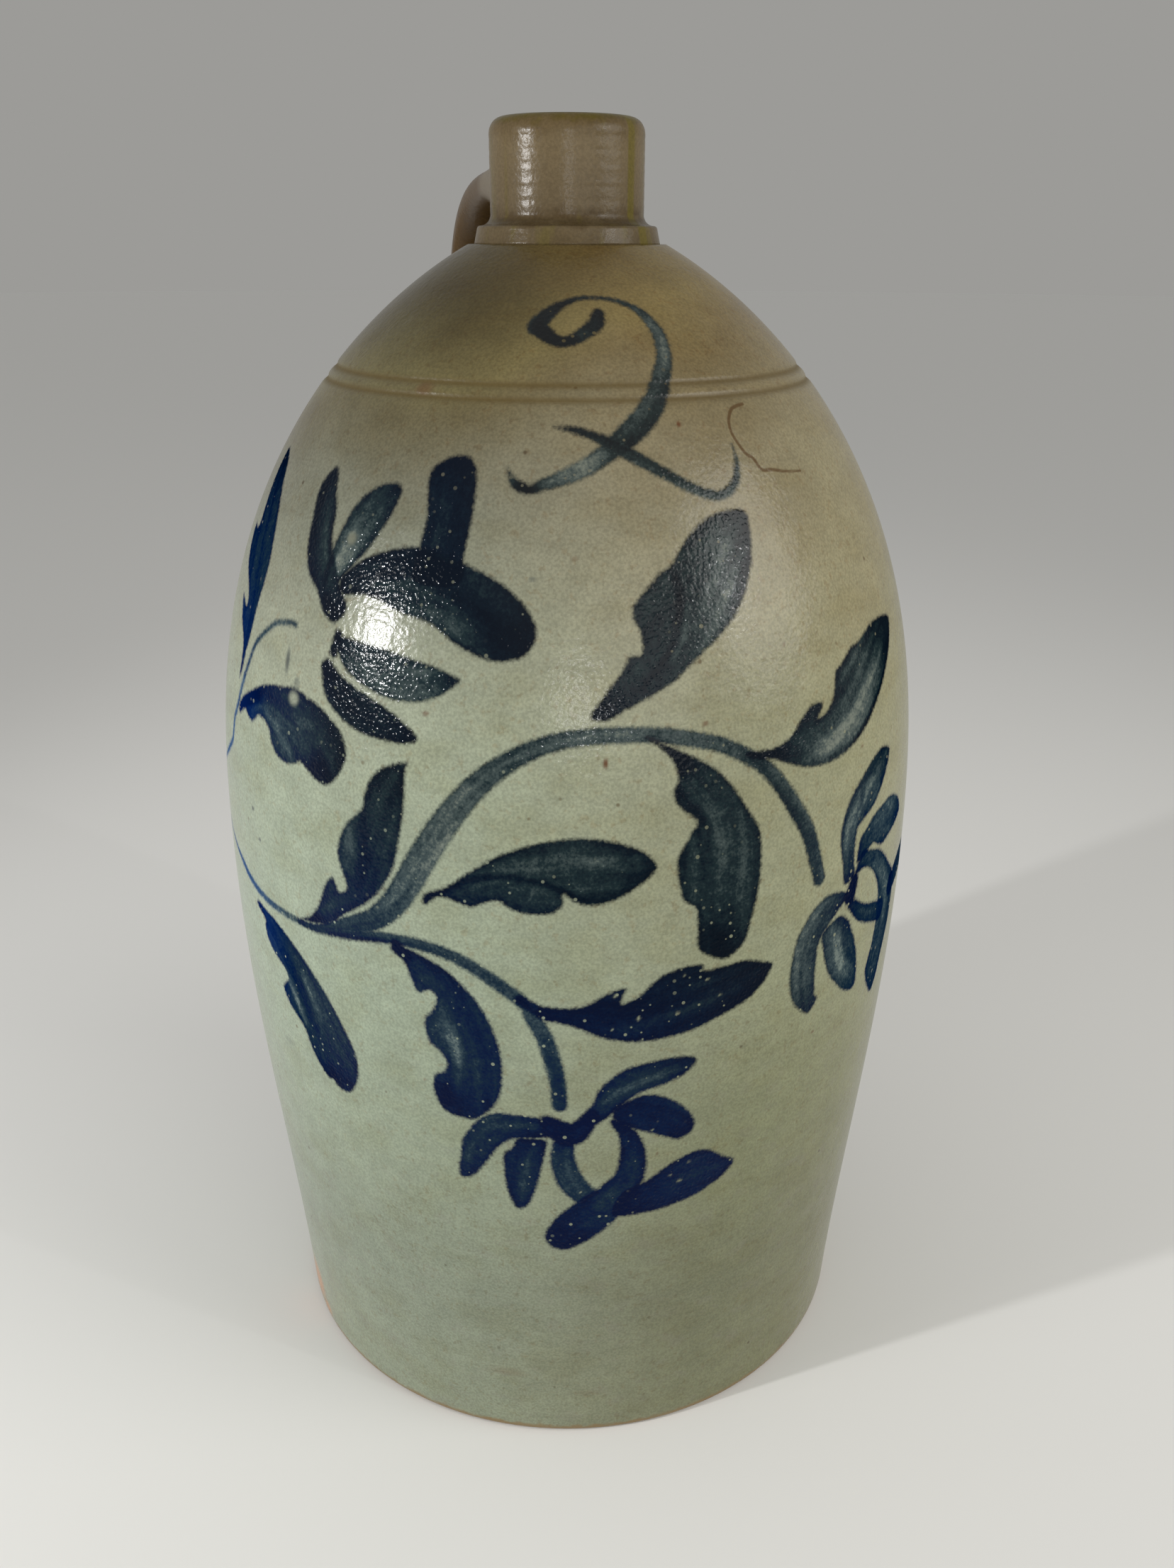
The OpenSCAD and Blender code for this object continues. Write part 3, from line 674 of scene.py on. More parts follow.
class Brushwork:
    """Works out where the cobalt lies on the wall, how thickly, and which way it was
    brushed, at each vertex of the wall. Lengths are in millimetres."""

    # How far outside a stroke's edge, and outside the hairline, a vertex is measured
    REACH = 3.0
    CRACK_REACH = 2.0
    # The load and the blueness of bare clay, which only show at a ragged edge
    BARE_LOAD = 0.4
    BARE_BLUE = 0.3
    # The brush gives up its first rich drop within about a centimetre
    FIRST_DROP = 8.0
    # How much cobalt gathers along the edge as it dries, how wide, and how far inside its
    # edge a touch has to reach for a whole rim
    RIM_LOAD = 0.28
    RIM_WIDTH = 1.2
    RIM_ROOM = 4.5
    # The share of a touch from which the brush lifts
    LIFT_FROM = 0.7
    # Where a touch's soft edge starts outside its outline and ends inside it
    SOFT_EDGE = (-0.3, 0.5)
    # What a second layer adds
    OVERLAP = 0.07
    # How far apart the streaks of two strokes are in the noise that draws them
    STREAK_GAP = 40.0

    def __init__(self, theta: np.ndarray, z: np.ndarray) -> None:
        """Starts with a bare wall.

        Args:
            theta: The vertices' angles in degrees.
            z: Their heights.
        """
        self.theta, self.z = theta, z
        self.place = FORM.point(theta, z)
        self.edge = np.full(len(z), -self.REACH)
        self.load = np.full(len(z), self.BARE_LOAD)
        self.blue = np.full(len(z), self.BARE_BLUE)
        self.along = np.zeros(len(z))
        self.across = np.zeros(len(z))

    def near(self, line: np.ndarray, margin: float) -> np.ndarray:
        """Finds the vertices close to a line.

        Args:
            line: Rows of angle and height, and more where they have it.
            margin: How far round the line's box to look, in millimetres.

        Returns:
            Their numbers.
        """
        turn = math.degrees(margin / FORM.radius(line[:, 1]).min())
        low, high = line.min(0), line.max(0)
        return np.flatnonzero(
            (self.theta > low[0] - turn) & (self.theta < high[0] + turn)
            & (self.z > low[1] - margin) & (self.z < high[1] + margin)
        )

    def follow(self, near: np.ndarray, line: np.ndarray, width: np.ndarray) -> tuple:
        """Measures vertices against a line on the wall.

        Args:
            near: The vertices.
            line: Rows of angle and height.
            width: The line's width at each row.

        Returns:
            How far each vertex is inside the line's edge, and its distances along the line
            and to one side of it, in millimetres.
        """
        middle = FORM.point(line[:, 0], line[:, 1])
        gap = np.zeros((len(near), len(middle)))
        for axis in range(3):
            gap += (self.place[near, axis][:, None] - middle[:, axis]) ** 2
        depth = width / 2 - np.sqrt(gap)
        row = depth.argmax(1)
        step = np.linalg.norm(np.diff(middle, axis=0), axis=1)
        run = np.concatenate([[0], np.cumsum(step)])
        ahead = np.gradient(middle, axis=0)
        side = np.cross(ahead, middle * [1, 1, 0])
        side /= np.linalg.norm(side, axis=1)[:, None] + 1e-9
        across = ((self.place[near] - middle[row]) * side[row]).sum(1)
        return depth[np.arange(len(near)), row], run[row], across

    def inside(self, near: np.ndarray, outline: np.ndarray) -> np.ndarray:
        """How far vertices lie inside a closed outline, below zero outside it.

        Args:
            near: The vertices.
            outline: Rows of angle and height.

        Returns:
            Depths in millimetres.
        """
        theta, z = self.theta[near][:, None], self.z[near][:, None]
        a, b = outline, np.roll(outline, -1, axis=0)
        spans = (a[:, 1] > z) != (b[:, 1] > z)
        rise = np.where(a[:, 1] == b[:, 1], 1e-9, b[:, 1] - a[:, 1])
        crossed = spans & (theta < (b[:, 0] - a[:, 0]) * (z - a[:, 1]) / rise + a[:, 0])
        within = crossed.sum(1) % 2 == 1
        start, end = FORM.point(*a.T), FORM.point(*b.T)
        edge = end - start
        offset = self.place[near][:, None, :] - start
        share = np.clip((offset * edge).sum(-1) / ((edge**2).sum(-1) + 1e-12), 0, 1)
        gap = np.linalg.norm(offset - share[..., None] * edge, axis=-1).min(1)
        return np.where(within, gap, -gap)

    def lay(self, near: np.ndarray, depth: np.ndarray, run: np.ndarray, across: np.ndarray,
            paint: Paint) -> None:
        """Lays one touch of the brush over what is there.

        Args:
            near: The vertices it may reach.
            depth: How far each is inside its edge.
            run: How far along the touch each is.
            across: How far to one side of its middle.
            paint: How the brush was loaded.
        """
        touch, rest, lift, blue = paint.value
        covered = depth > 0
        whole = run[covered].max() if covered.any() else 1.0
        load = rest + (touch - rest) * np.exp(-run / self.FIRST_DROP)
        load += (lift - rest) * smoothstep(self.LIFT_FROM, 1.0, run / whole)
        # A thin stroke has no room for the rim
        rim = self.RIM_LOAD * smoothstep(self.RIM_WIDTH, self.RIM_ROOM, depth.max())
        load += rim * np.exp(-np.maximum(depth, 0) / self.RIM_WIDTH)
        low, high = self.SOFT_EDGE
        over = smoothstep(low, high, depth) * smoothstep(low, high, self.edge[near])
        fresh = depth > np.minimum(self.edge[near], high)
        layered = np.maximum(load, self.load[near]) + self.OVERLAP
        load = np.where(fresh, load, self.load[near]) * (1 - over) + layered * over
        self.load[near] = load
        self.blue[near] = np.where(fresh, blue, self.blue[near])
        self.along[near] = np.where(fresh, run, self.along[near])
        self.across[near] = np.where(fresh, across, self.across[near])
        self.edge[near] = np.maximum(depth, self.edge[near])

    def paint(self, touch: Stroke | Blade, number: int) -> None:
        """Paints one touch of the brush.

        Args:
            touch: A stroke or a filled blade.
            number: Its number, which keeps its streaks its own.
        """
        if isinstance(touch, Stroke):
            line = spline(touch.points, 8)
            near = self.near(line, line[:, 2].max() / 2 + self.REACH)
            depth, run, across = self.follow(near, line[:, :2], line[:, 2])
        else:
            outline = spline(touch.outline, 5, closed=True)
            near = self.near(outline, self.REACH)
            depth = self.inside(near, outline)
            line = spline(touch.rib, 12)
            _, run, across = self.follow(near, line, np.zeros(len(line)))
        self.lay(near, depth, run, across + self.STREAK_GAP * number, touch.paint)

    def pool(self, place: Pool) -> None:
        """Thickens or thins the cobalt softly along a line.

        Args:
            place: Where, and by how much.
        """
        line = spline(place.points, 6)
        line[:, 2] *= 0.4 + 0.6 * np.sin(np.linspace(0, np.pi, len(line)))
        near = self.near(line, line[:, 2].max() + 1)
        depth, _, _ = self.follow(near, line[:, :2], line[:, 2])
        soft = smoothstep(-line[:, 2].max() * 0.5, line[:, 2].max() * 0.4, depth)
        self.load[near] += place.change * soft

    def spots(self, marks: tuple[Mark, ...]) -> np.ndarray:
        """Measures the vertices against small marks.

        Args:
            marks: The marks.

        Returns:
            How strongly each vertex lies in one of them, from 0 to 1.
        """
        depth = np.zeros(len(self.z))
        for m in marks:
            degree = math.radians(float(FORM.radius(m.z)))
            x = (self.theta - m.theta) * degree / (m.wide / 2)
            y = (self.z - m.z) / (m.tall / 2)
            depth = np.maximum(depth, m.strength * (1 - smoothstep(0.4, 1.5, np.hypot(x, y))))
        return depth

    def hairline(self) -> np.ndarray:
        """Measures the vertices against the hairline.

        Returns:
            How far each lies inside it, in millimetres.
        """
        line = spline(HAIRLINE, 12)
        near = self.near(line, self.CRACK_REACH)
        depth = np.full(len(self.z), -self.CRACK_REACH)
        depth[near] = self.follow(near, line[:, :2], line[:, 2])[0]
        return depth


@dataclass
class Grid:
    """A sheet of points whose last column joins the first, made into a mesh at once. The
    points are an array of rows by columns by 3, in millimetres."""

    points: np.ndarray

    def mesh(self, name: str, caps: bool = False) -> bpy.types.Mesh:
        """Builds the mesh, with a bake map that gives each face its share.

        Args:
            name: The mesh's name.
            caps: Whether to close the first and last rows with a face.

        Returns:
            The new mesh, smooth shaded.
        """
        rows, cols = self.points.shape[:2]
        i, j = np.meshgrid(np.arange(rows - 1), np.arange(cols), indexing="ij")
        right = (j + 1) % cols
        quads = np.stack([i * cols + j, i * cols + right, (i + 1) * cols + right,
                          (i + 1) * cols + j], -1).reshape(-1, 4)
        loops = quads.ravel()
        starts = np.arange(0, len(loops), 4)
        if caps:
            first = np.arange(cols)[::-1]
            last = (rows - 1) * cols + np.arange(cols)
            starts = np.concatenate([starts, [len(loops), len(loops) + cols]])
            loops = np.concatenate([loops, first, last])
        made = bpy.data.meshes.new(name)
        made.vertices.add(rows * cols)
        made.vertices.foreach_set("co", (self.points * MM).astype(np.float32).ravel())
        made.loops.add(len(loops))
        made.loops.foreach_set("vertex_index", loops.astype(np.int32))
        made.polygons.add(len(starts))
        made.polygons.foreach_set("loop_start", starts.astype(np.int32))
        made.update(calc_edges=True)
        made.validate()
        made.polygons.foreach_set("use_smooth", np.ones(len(made.polygons), bool))
        u = np.stack([j, j + 1, j + 1, j], -1) / cols
        v = np.stack([i, i, i + 1, i + 1], -1) / (rows - 1)
        flat = np.full((len(loops), 2), 0.5)
        flat[: quads.size] = np.stack([u.ravel(), v.ravel()], -1) * 0.98 + 0.01
        made.uv_layers.new(name="OFBake").data.foreach_set("uv", flat.astype(np.float32).ravel())
        return made


def revolve(profile: np.ndarray, angles: np.ndarray) -> np.ndarray:
    """Turns an outline about the jug's axis.

    Args:
        profile: Rows of radius and height.
        angles: Angles round the jug in degrees.

    Returns:
        Array of rows by columns by 3.
    """
    a = np.radians(angles)
    r, z = profile[:, :1], profile[:, 1:]
    return np.stack([r * np.sin(a), -r * np.cos(a), z + 0 * a], -1)


def evenly(points: list[tuple[float, float]], step: float) -> np.ndarray:
    """Points every step along an outline, its corners kept.

    Args:
        points: Corners of the outline, as (r, z).
        step: The most distance between two of the new points.

    Returns:
        Rows of radius and height.
    """
    rows = [np.asarray(points[:1], float)]
    for a, b in zip(points, points[1:]):
        count = max(1, math.ceil(math.dist(a, b) / step))
        share = np.arange(1, count + 1)[:, None] / count
        rows.append(np.asarray(a) * (1 - share) + np.asarray(b) * share)
    return np.concatenate(rows)


def set_values(mesh: bpy.types.Mesh, name: str, values: np.ndarray) -> None:
    """Stores one number a vertex under a name that a material reads."""
    layer = mesh.attributes.new(name, "FLOAT", "POINT")
    layer.data.foreach_set("value", values.astype(np.float32))


def add_piece(
    mesh: bpy.types.Mesh, material: bpy.types.Material, slot: str, *nodes: str
) -> bpy.types.Object:
    """Puts a piece of the jug in the scene in place of its plain solid.

    Args:
        mesh: The piece's mesh.
        material: Its finish.
        slot: Not used.
        *nodes: The solids that it stands for.

    Returns:
        The new object.
    """
    piece = bpy.data.objects.new(mesh.name, mesh)
    bpy.context.scene.collection.objects.link(piece)
    mesh.materials.append(material)
    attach(piece, ROOT)
    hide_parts(*nodes)
    log.info("%s: %d vertices, for %s", mesh.name, len(mesh.vertices), ", ".join(nodes))
    return piece


def start_material(name: str) -> tuple[bpy.types.Material, AddNode, bpy.types.Node]:
    """Starts a material with an empty node tree.

    Args:
        name: The material's name.

    Returns:
        The material, a function that adds a node to it, and the place on the jug in
        millimetres, so that each pattern's scale is one over its real size.
    """
    made = bpy.data.materials.new(name)
    made.use_nodes = True
    made.node_tree.nodes.clear()
    add = partial(add_node, made.node_tree)
    place = add("TexCoord").outputs["Object"]
    return made, add, add("VectorMath", (place, 1 / MM), operation="SCALE")


@dataclass(frozen=True)
class SaltGlazedStoneware:
    """Wheel-thrown stoneware fired with salt: a thin clear glaze over grey-tan clay.

    The salt gives the eye a soft gloss broken by fine orange peel, and the kiln's flame a
    slow drift from toasted brown at the crown to grey-green low on one side. Where cobalt
    was brushed under it the glaze runs thicker, and its blisters catch the lamp.
    """

    name: str = "salt_glazed_stoneware"
    # The peel, the blisters and the grit are finer than this on the jug, and would not show
    # in the render, so they are drawn as coarse as they need to be
    peel_mm: float = 1.3
    blister_mm: float = 0.9
    grit_mm: float = 0.7
    # The kiln's clouds, the mottling, the dents of the potter's fingers, the iron's freckles
    # and the drifts of salt and ash
    cloud_mm: float = 60.0
    mottle_mm: float = 8.0
    dent_mm: float = 6.0
    freckle_mm: float = 7.0
    blush_mm: float = 1.8
    salt_mm: float = 11.0
    ash_mm: float = 5.0
    # The streaks of the brush's hairs, fine and broad, the cobalt's clouds and its pinholes
    hair_mm: float = 1.5
    streak_mm: float = 4.5
    pooling_mm: float = 2.2
    pinhole_mm: float = 2.5
    roughness: float = 0.21
    cobalt_roughness: float = 0.11
    ior: float = 1.5
    shine: float = 0.3
    cobalt_shine: float = 0.19

    def material(self) -> bpy.types.Material:
        """Builds the material, which reads the brushwork from the mesh.

        Returns:
            The material.
        """
        made, add, mm = start_material(self.name)
        x, _, z = add("SeparateXYZ", (mm,)).outputs
        clay = self.fired(add, mm, x, z)
        clay = self.mottled(add, mm, z, clay)
        clay = self.rusted(add, mm, z, clay)
        cover = self.cover(add, mm, z)
        painted = add("Mix", (cover, clay, self.cobalt(add, mm, x, z)), **LAID)
        shader = add("BsdfPrincipled", {
            "Base Color": self.marks(add, painted),
            "Roughness": self.gloss(add, mm, cover),
            "IOR": self.ior,
            "Specular IOR Level": self.glassiness(add, z, cover),
            "Normal": self.relief(add, mm, cover),
        })
        add("OutputMaterial", (shader,))
        return made

    def fired(self, add: AddNode, mm: Source, x: Source, z: Source) -> Source:
        """The bare clay's colour as the kiln left it, by height and side, with painted shade at
        the far right, on the left of the shoulder and crown, and low on the right.

        Args:
            add: Adds a node.
            mm: Places on the jug in millimetres.
            x: Their distance to the right of the axis.
            z: Their height.

        Returns:
            The colour.
        """
        # The toasting comes lower on the left of the shoulder
        lean = add("MapRange", (z, 260.0, 310.0, 0.0, -0.3), **SMOOTH)
        lean = add("Math", (x, lean), operation="MULTIPLY")
        cloud = add("TexNoise", (mm, 1 / self.cloud_mm, 2.0))
        drift = add("Math", (cloud, 44.0, z), operation="MULTIPLY_ADD")
        drift = add("Math", (drift, lean), operation="ADD")
        height = add("MapRange", (drift, 22.0, 22 + FORM.lip_z))
        kiln = add("ValToRGB", (height,), ramp=(
            (0.0, "#8f917a"), (0.15, "#888b77"), (0.27, "#959982"), (0.43, "#9ea38c"),
            (0.6, "#a3a48d"), (0.71, "#a19c85"), (0.775, "#958c75"), (0.845, "#827252"),
            (0.875, "#8a7950"), (0.92, "#6c5a37")))
        # The flame left the left side greener and paler; the right is more buff, and the darker
        # far right end of this ramp is painted shade where the wall turns from the light
        side = add("MapRange", (x, -105.0, 100.0))
        tone = add("ValToRGB", (side,), ramp=(
            (0.0, "#edf9ff"), (0.28, "#e3ebec"), (0.5, "#dfe0da"), (0.88, "#dfdac4"),
            (1.0, "#bdb9a6")))
        colour = add("Mix", (1.0, kiln, tone), **TIMES)
        # Painted shade: darker and greyer on the left of the shoulder, more so on the crown's
        # left, and darker on the lower right
        for low, high, left, right, shade in (
            (225.0, 280.0, 5.0, -60.0, "#d4d8dc"),
            (298.0, 325.0, 5.0, -35.0, "#cfd2d0"),
            (175.0, 105.0, -40.0, 30.0, "#e6e7dc"),
        ):
            level = add("MapRange", (z, low, high), **SMOOTH)
            side = add("MapRange", (x, left, right), **SMOOTH)
            there = add("Math", (level, side), operation="MULTIPLY")
            # Each pass multiplies one painted shade into the clay
            colour = add("Mix", (there, colour, linear(shade)), **TIMES)
        return colour

    def mottled(self, add: AddNode, mm: Source, z: Source, colour: Source) -> Source:
        """Breaks a colour up with mottling, throwing bands, grit, and drifts of salt and ash.

        Args:
            add: Adds a node.
            mm: Places on the jug in millimetres.
            z: Their height.
            colour: The clay's colour.

        Returns:
            The colour, broken up.
        """
        cloudy = add("TexNoise", (mm, 1 / self.mottle_mm, 6.0))
        mottle = add("MapRange", (cloudy, 0.3, 0.7, 0.945, 1.05), **SMOOTH)
        # Faint bands run round the wall as the potter's fingers left them
        turned = add("Mapping", {"Vector": mm, "Scale": (0.03, 0.03, 0.5)})
        banded = add("TexNoise", (turned, 1.0, 4.0))
        bands = add("MapRange", (banded, 0.3, 0.7, 0.975, 1.025), **SMOOTH)
        mottle = add("Math", (mottle, bands), operation="MULTIPLY")
        gritty = add("TexNoise", (mm, 1 / self.grit_mm, 2.0))
        grit = add("MapRange", (gritty, 0.3, 0.7, 0.86, 1.12), **SMOOTH)
        mottle = add("Math", (mottle, grit), operation="MULTIPLY")
        colour = add("Mix", (1.0, colour, mottle), **TIMES)
        # Warmer and greyer drifts where salt and ash settled unevenly
        lying = add("Mapping", {"Vector": mm, "Scale": (0.6, 0.6, 1.0)})
        salted = add("TexNoise", (lying, 1 / self.salt_mm, 4.0))
        warm = add("MapRange", (salted, 0.45, 0.68, 0.0, 0.24), **SMOOTH)
        colour = add("Mix", (warm, colour, linear("#9a8d70")), data_type="RGBA",
                     blend_type="SOFT_LIGHT")
        ashen = add("TexNoise", (lying, 1 / self.ash_mm, 5.0))
        ash = add("MapRange", (ashen, 0.52, 0.72, 0.0, 0.18), **SMOOTH)
        lower = add("MapRange", (z, 210.0, 60.0), **SMOOTH)
        ash = add("Math", (ash, lower), operation="MULTIPLY")
        return add("Mix", (ash, colour, linear("#77726b")), **LAID)

    def rusted(self, add: AddNode, mm: Source, z: Source, colour: Source) -> Source:
        """Lays the clay's iron, the bare foot, and the glaze gathered in the rings with painted
        shade in their hollows, over a colour.

        Args:
            add: Adds a node.
            mm: Places on the jug in millimetres.
            z: Their height.
            colour: The clay's colour.

        Returns:
            The finished clay.
        """
        # Iron in the clay: rusty freckles, a few of them burnt dark, and a faint blush
        freckle = add("TexVoronoi", (mm, 1 / self.freckle_mm))
        spot = add("MapRange", (freckle, 0.11, 0.04), **SMOOTH)
        chance = add("SeparateXYZ", (freckle.outputs["Color"],))
        chance = add("MapRange", (chance, 0.5, 1.0, 0.0, 0.8), **SMOOTH)
        spot = add("Math", (spot, chance), operation="MULTIPLY")
        colour = add("Mix", (spot, colour, linear("#9a7c62")), **TIMES)
        patchy = add("TexNoise", (mm, 1 / self.blush_mm, 4.0))
        blush = add("MapRange", (patchy, 0.55, 0.72, 0.0, 0.4), **SMOOTH)
        colour = add("Mix", (blush, colour, linear("#dcc4ae")), **TIMES)
        # The foot's edge stood on the kiln's shelf and came out bare and tan
        ragged = add("TexNoise", (mm, 1 / 3.0, 3.0))
        ragged = add("Math", (ragged, -3.0, z), operation="MULTIPLY_ADD")
        shelf = add("MapRange", (ragged, 1.6, 0.0, 0.0, 0.85), **SMOOTH)
        colour = add("Mix", (shelf, colour, linear("#7b6440")), **LAID)
        # Glaze gathered darker in the two rings, and their hollows also carry painted shade
        groove = add("Attribute", attribute_name="groove").outputs["Fac"]
        gathered = add("Math", (groove, 0.75), operation="MULTIPLY")
        return add("Mix", (gathered, colour, linear("#54441f")), **LAID)

    def thickness(self, add: AddNode, mm: Source) -> Source:
        """How thickly the cobalt lies, with the streaks that the brush's hairs leave along
        each stroke, clouds and grain.

        Args:
            add: Adds a node.
            mm: Places on the jug in millimetres.

        Returns:
            The thickness.
        """
        along = add("Attribute", attribute_name="along").outputs["Fac"]
        across = add("Attribute", attribute_name="across").outputs["Fac"]
        hairs = add("CombineXYZ", (across, add("Math", (along, 0.09), operation="MULTIPLY")))
        thick = add("Attribute", attribute_name="load").outputs["Fac"]
        for place, size, detail, share in (
            (hairs, self.hair_mm, 3.0, 0.28),
            (hairs, self.streak_mm, 1.0, 0.80),
            (mm, self.pooling_mm, 4.0, 0.45),
            (mm, self.grit_mm, 2.0, 0.50),
        ):
            uneven = add("TexNoise", (place, 1 / size, detail))
            uneven = add("Math", (uneven, 0.5), operation="SUBTRACT")
            thick = add("Math", (uneven, share, thick), operation="MULTIPLY_ADD")
        return thick

    def cobalt(self, add: AddNode, mm: Source, x: Source, z: Source) -> Source:
        """The colour of the cobalt brushwork, paler where it lies thin.

        Args:
            add: Adds a node.
            mm: Places on the jug in millimetres.
            x: Their distance to the right of the axis.
            z: Their height.

        Returns:
            The colour.
        """
        thick = self.thickness(add, mm)
        slate = add("ValToRGB", (thick,), ramp=(
            (0.0, "#70766c"), (0.25, "#414c4b"), (0.5, "#1a282b"), (0.75, "#06131b"),
            (1.0, "#010a14")))
        blue = add("ValToRGB", (thick,), ramp=(
            (0.0, "#6c7a78"), (0.25, "#31424b"), (0.5, "#122638"), (0.75, "#021638"),
            (1.0, "#000c2e")))
        royal = add("ValToRGB", (thick,), ramp=(
            (0.2, "#3a5578"), (0.5, "#1f3866"), (0.75, "#0d285c"), (1.0, "#051a4c")))
        # It fired bluer low down, on the left and on the right, and bluest at the far left
        low = add("Math", (x, 0.6, z), operation="MULTIPLY_ADD")
        low = add("MapRange", (low, 180.0, 115.0), **SMOOTH)
        left = add("MapRange", (x, -74.0, -92.0), **SMOOTH)
        right = add("MapRange", (x, 22.0, 76.0), **SMOOTH)
        below = add("MapRange", (z, 215.0, 190.0), **SMOOTH)
        right = add("Math", (right, below), operation="MULTIPLY")
        bluer = add("Math", (low, left), operation="MAXIMUM")
        bluer = add("Math", (bluer, right), operation="MAXIMUM")
        own = add("Attribute", attribute_name="blue").outputs["Fac"]
        bluer = add("Math", (bluer, 0.85, own), operation="MULTIPLY_ADD")
        tint = add("Mix", (bluer, slate, blue), **LAID)
        far_left = add("MapRange", (x, -90.0, -102.0), **SMOOTH)
        tint = add("Mix", (far_left, tint, royal), **LAID)
        # On the toasted shoulder it is thin and lets the brown through
        high = add("MapRange", (z, 215.0, 290.0), **SMOOTH)
        front = add("MapRange", (x, -50.0, -20.0), **SMOOTH)
        brown = add("Math", (high, front), operation="MULTIPLY")
        brown = add("Math", (brown, 0.18), operation="MULTIPLY")
        return add("Mix", (brown, tint, linear("#413d33")), **LAID)

    def cover(self, add: AddNode, mm: Source, z: Source) -> Source:
        """Where the cobalt covers the clay, from 0 to 1, with ragged edges and pinholes.

        Args:
            add: Adds a node.
            mm: Places on the jug in millimetres.
            z: Their height.

        Returns:
            The cover.
        """
        ragged = add("TexNoise", (mm, 1 / self.blister_mm, 3.0))
        inside = add("Attribute", attribute_name="edge").outputs["Fac"]
        inside = add("Math", (ragged, 1.3, inside), operation="MULTIPLY_ADD")
        laid = add("MapRange", (inside, 0.0, 1.4), **SMOOTH)
        # Bubbles in the glaze burst and left pinholes, more of them low down
        pits = add("TexVoronoi", (mm, 1 / self.pinhole_mm))
        chance, other_chance, _ = add("SeparateXYZ", (pits.outputs["Color"],)).outputs
        size = add("Math", (chance, 0.2, 0.03), operation="MULTIPLY_ADD")
        nearness = add("Math", (size, pits), operation="SUBTRACT")
        pinhole = add("MapRange", (nearness, -0.02, 0.05), **SMOOTH)
        strength = add("MapRange", (other_chance, 0.2, 0.7, 0.0, 0.8), **SMOOTH)
        pinhole = add("Math", (pinhole, strength), operation="MULTIPLY")
        low = add("MapRange", (z, 200.0, 160.0, 0.55, 1.0), **SMOOTH)
        pinhole = add("Math", (pinhole, low), operation="MULTIPLY")
        bare = add("Attribute", attribute_name="bare").outputs["Fac"]
        bare = add("Math", (pinhole, bare), operation="MAXIMUM")
        left = add("Math", (1.0, bare), operation="SUBTRACT")
        return add("Math", (laid, left), operation="MULTIPLY")

    def marks(self, add: AddNode, colour: Source) -> Source:
        """Lays smudges, iron specks, the scrape and the hairline over a colour.

        Args:
            add: Adds a node.
            colour: The painted clay's colour.

        Returns:
            The colour with its marks.
        """
        for name, shade in (("smudge", "#454b4a"), ("iron", "#5a3820"), ("scrape", "#b57d55")):
            mark = add("Attribute", attribute_name=name).outputs["Fac"]
            colour = add("Mix", (mark, colour, linear(shade)), **LAID)
        inside = add("Attribute", attribute_name="hairline").outputs["Fac"]
        crack = add("MapRange", (inside, -0.35, 0.1), **SMOOTH)
        crack = add("Math", (crack, 0.85), operation="MULTIPLY")
        return add("Mix", (crack, colour, linear("#513a1d")), **LAID)

    def gloss(self, add: AddNode, mm: Source, cover: Source) -> Source:
        """How rough the glaze is: smoother over the cobalt, rougher in the rings.

        Args:
            add: Adds a node.
            mm: Places on the jug in millimetres.
            cover: Where the cobalt lies.

        Returns:
            The roughness.
        """
        rough = add("MapRange", (cover, 0.0, 1.0, self.roughness, self.cobalt_roughness),
                    **SMOOTH)
        rough = add("Math", (rough, 0.03), operation="SUBTRACT")
        patchy = add("TexNoise", (mm, 1 / self.mottle_mm, 3.0))
        rough = add("Math", (patchy, 0.06, rough), operation="MULTIPLY_ADD")
        groove = add("Attribute", attribute_name="groove").outputs["Fac"]
        return add("Math", (groove, 0.3, rough), operation="MULTIPLY_ADD")

    def glassiness(self, add: AddNode, z: Source, cover: Source) -> Source:
        """How strongly the glaze mirrors. Over the cobalt it is glassy on the shoulder, where
        the salt's vapour settled, and duller low down and where it turns away.

        Args:
            add: Adds a node.
            z: The height.
            cover: Where the cobalt lies.

        Returns:
            The strength.
        """
        high = add("MapRange", (z, 185.0, 225.0, 0.3, 1.0), **SMOOTH)
        away = add("LayerWeight").outputs["Facing"]
        facing = add("MapRange", (away, 0.35, 0.6, self.cobalt_shine, 0.0), **SMOOTH)
        glassy = add("Math", (high, facing), operation="MULTIPLY")
        return add("MapRange", (cover, 0.0, 1.0, self.shine, glassy), **SMOOTH)

    def relief(self, add: AddNode, mm: Source, cover: Source) -> Source:
        """The bumped surface: the salt's orange peel, the shallow dents of the potter's
        fingers, which break up a lamp's mirror image, the faint throwing lines and the
        cobalt's blisters.

        Args:
            add: Adds a node.
            mm: Places on the jug in millimetres.
            cover: Where the cobalt lies.

        Returns:
            The normal.
        """
        turned = add("Mapping", {"Vector": mm, "Scale": (0.02, 0.02, 0.45)})
        cells = add("TexVoronoi", (mm, 1 / self.blister_mm), feature="SMOOTH_F1")
        blister = add("MapRange", (cells, 0.6, 0.1), **SMOOTH)
        normal = None
        for height, strength, deep in (
            (add("TexNoise", (mm, 1 / self.peel_mm, 3.0)), 0.8, 0.16),
            (add("TexNoise", (mm, 1 / self.dent_mm, 2.0)), 0.5, 0.4),
            (add("TexNoise", (turned, 1.0, 3.0)), 0.3, 0.15),
            (add("Math", (blister, cover), operation="MULTIPLY"), 0.8, 0.09),
        ):
            normal = add("Bump", {"Strength": strength, "Distance": deep * MM,
                                  "Height": height, "Normal": normal})
        return normal


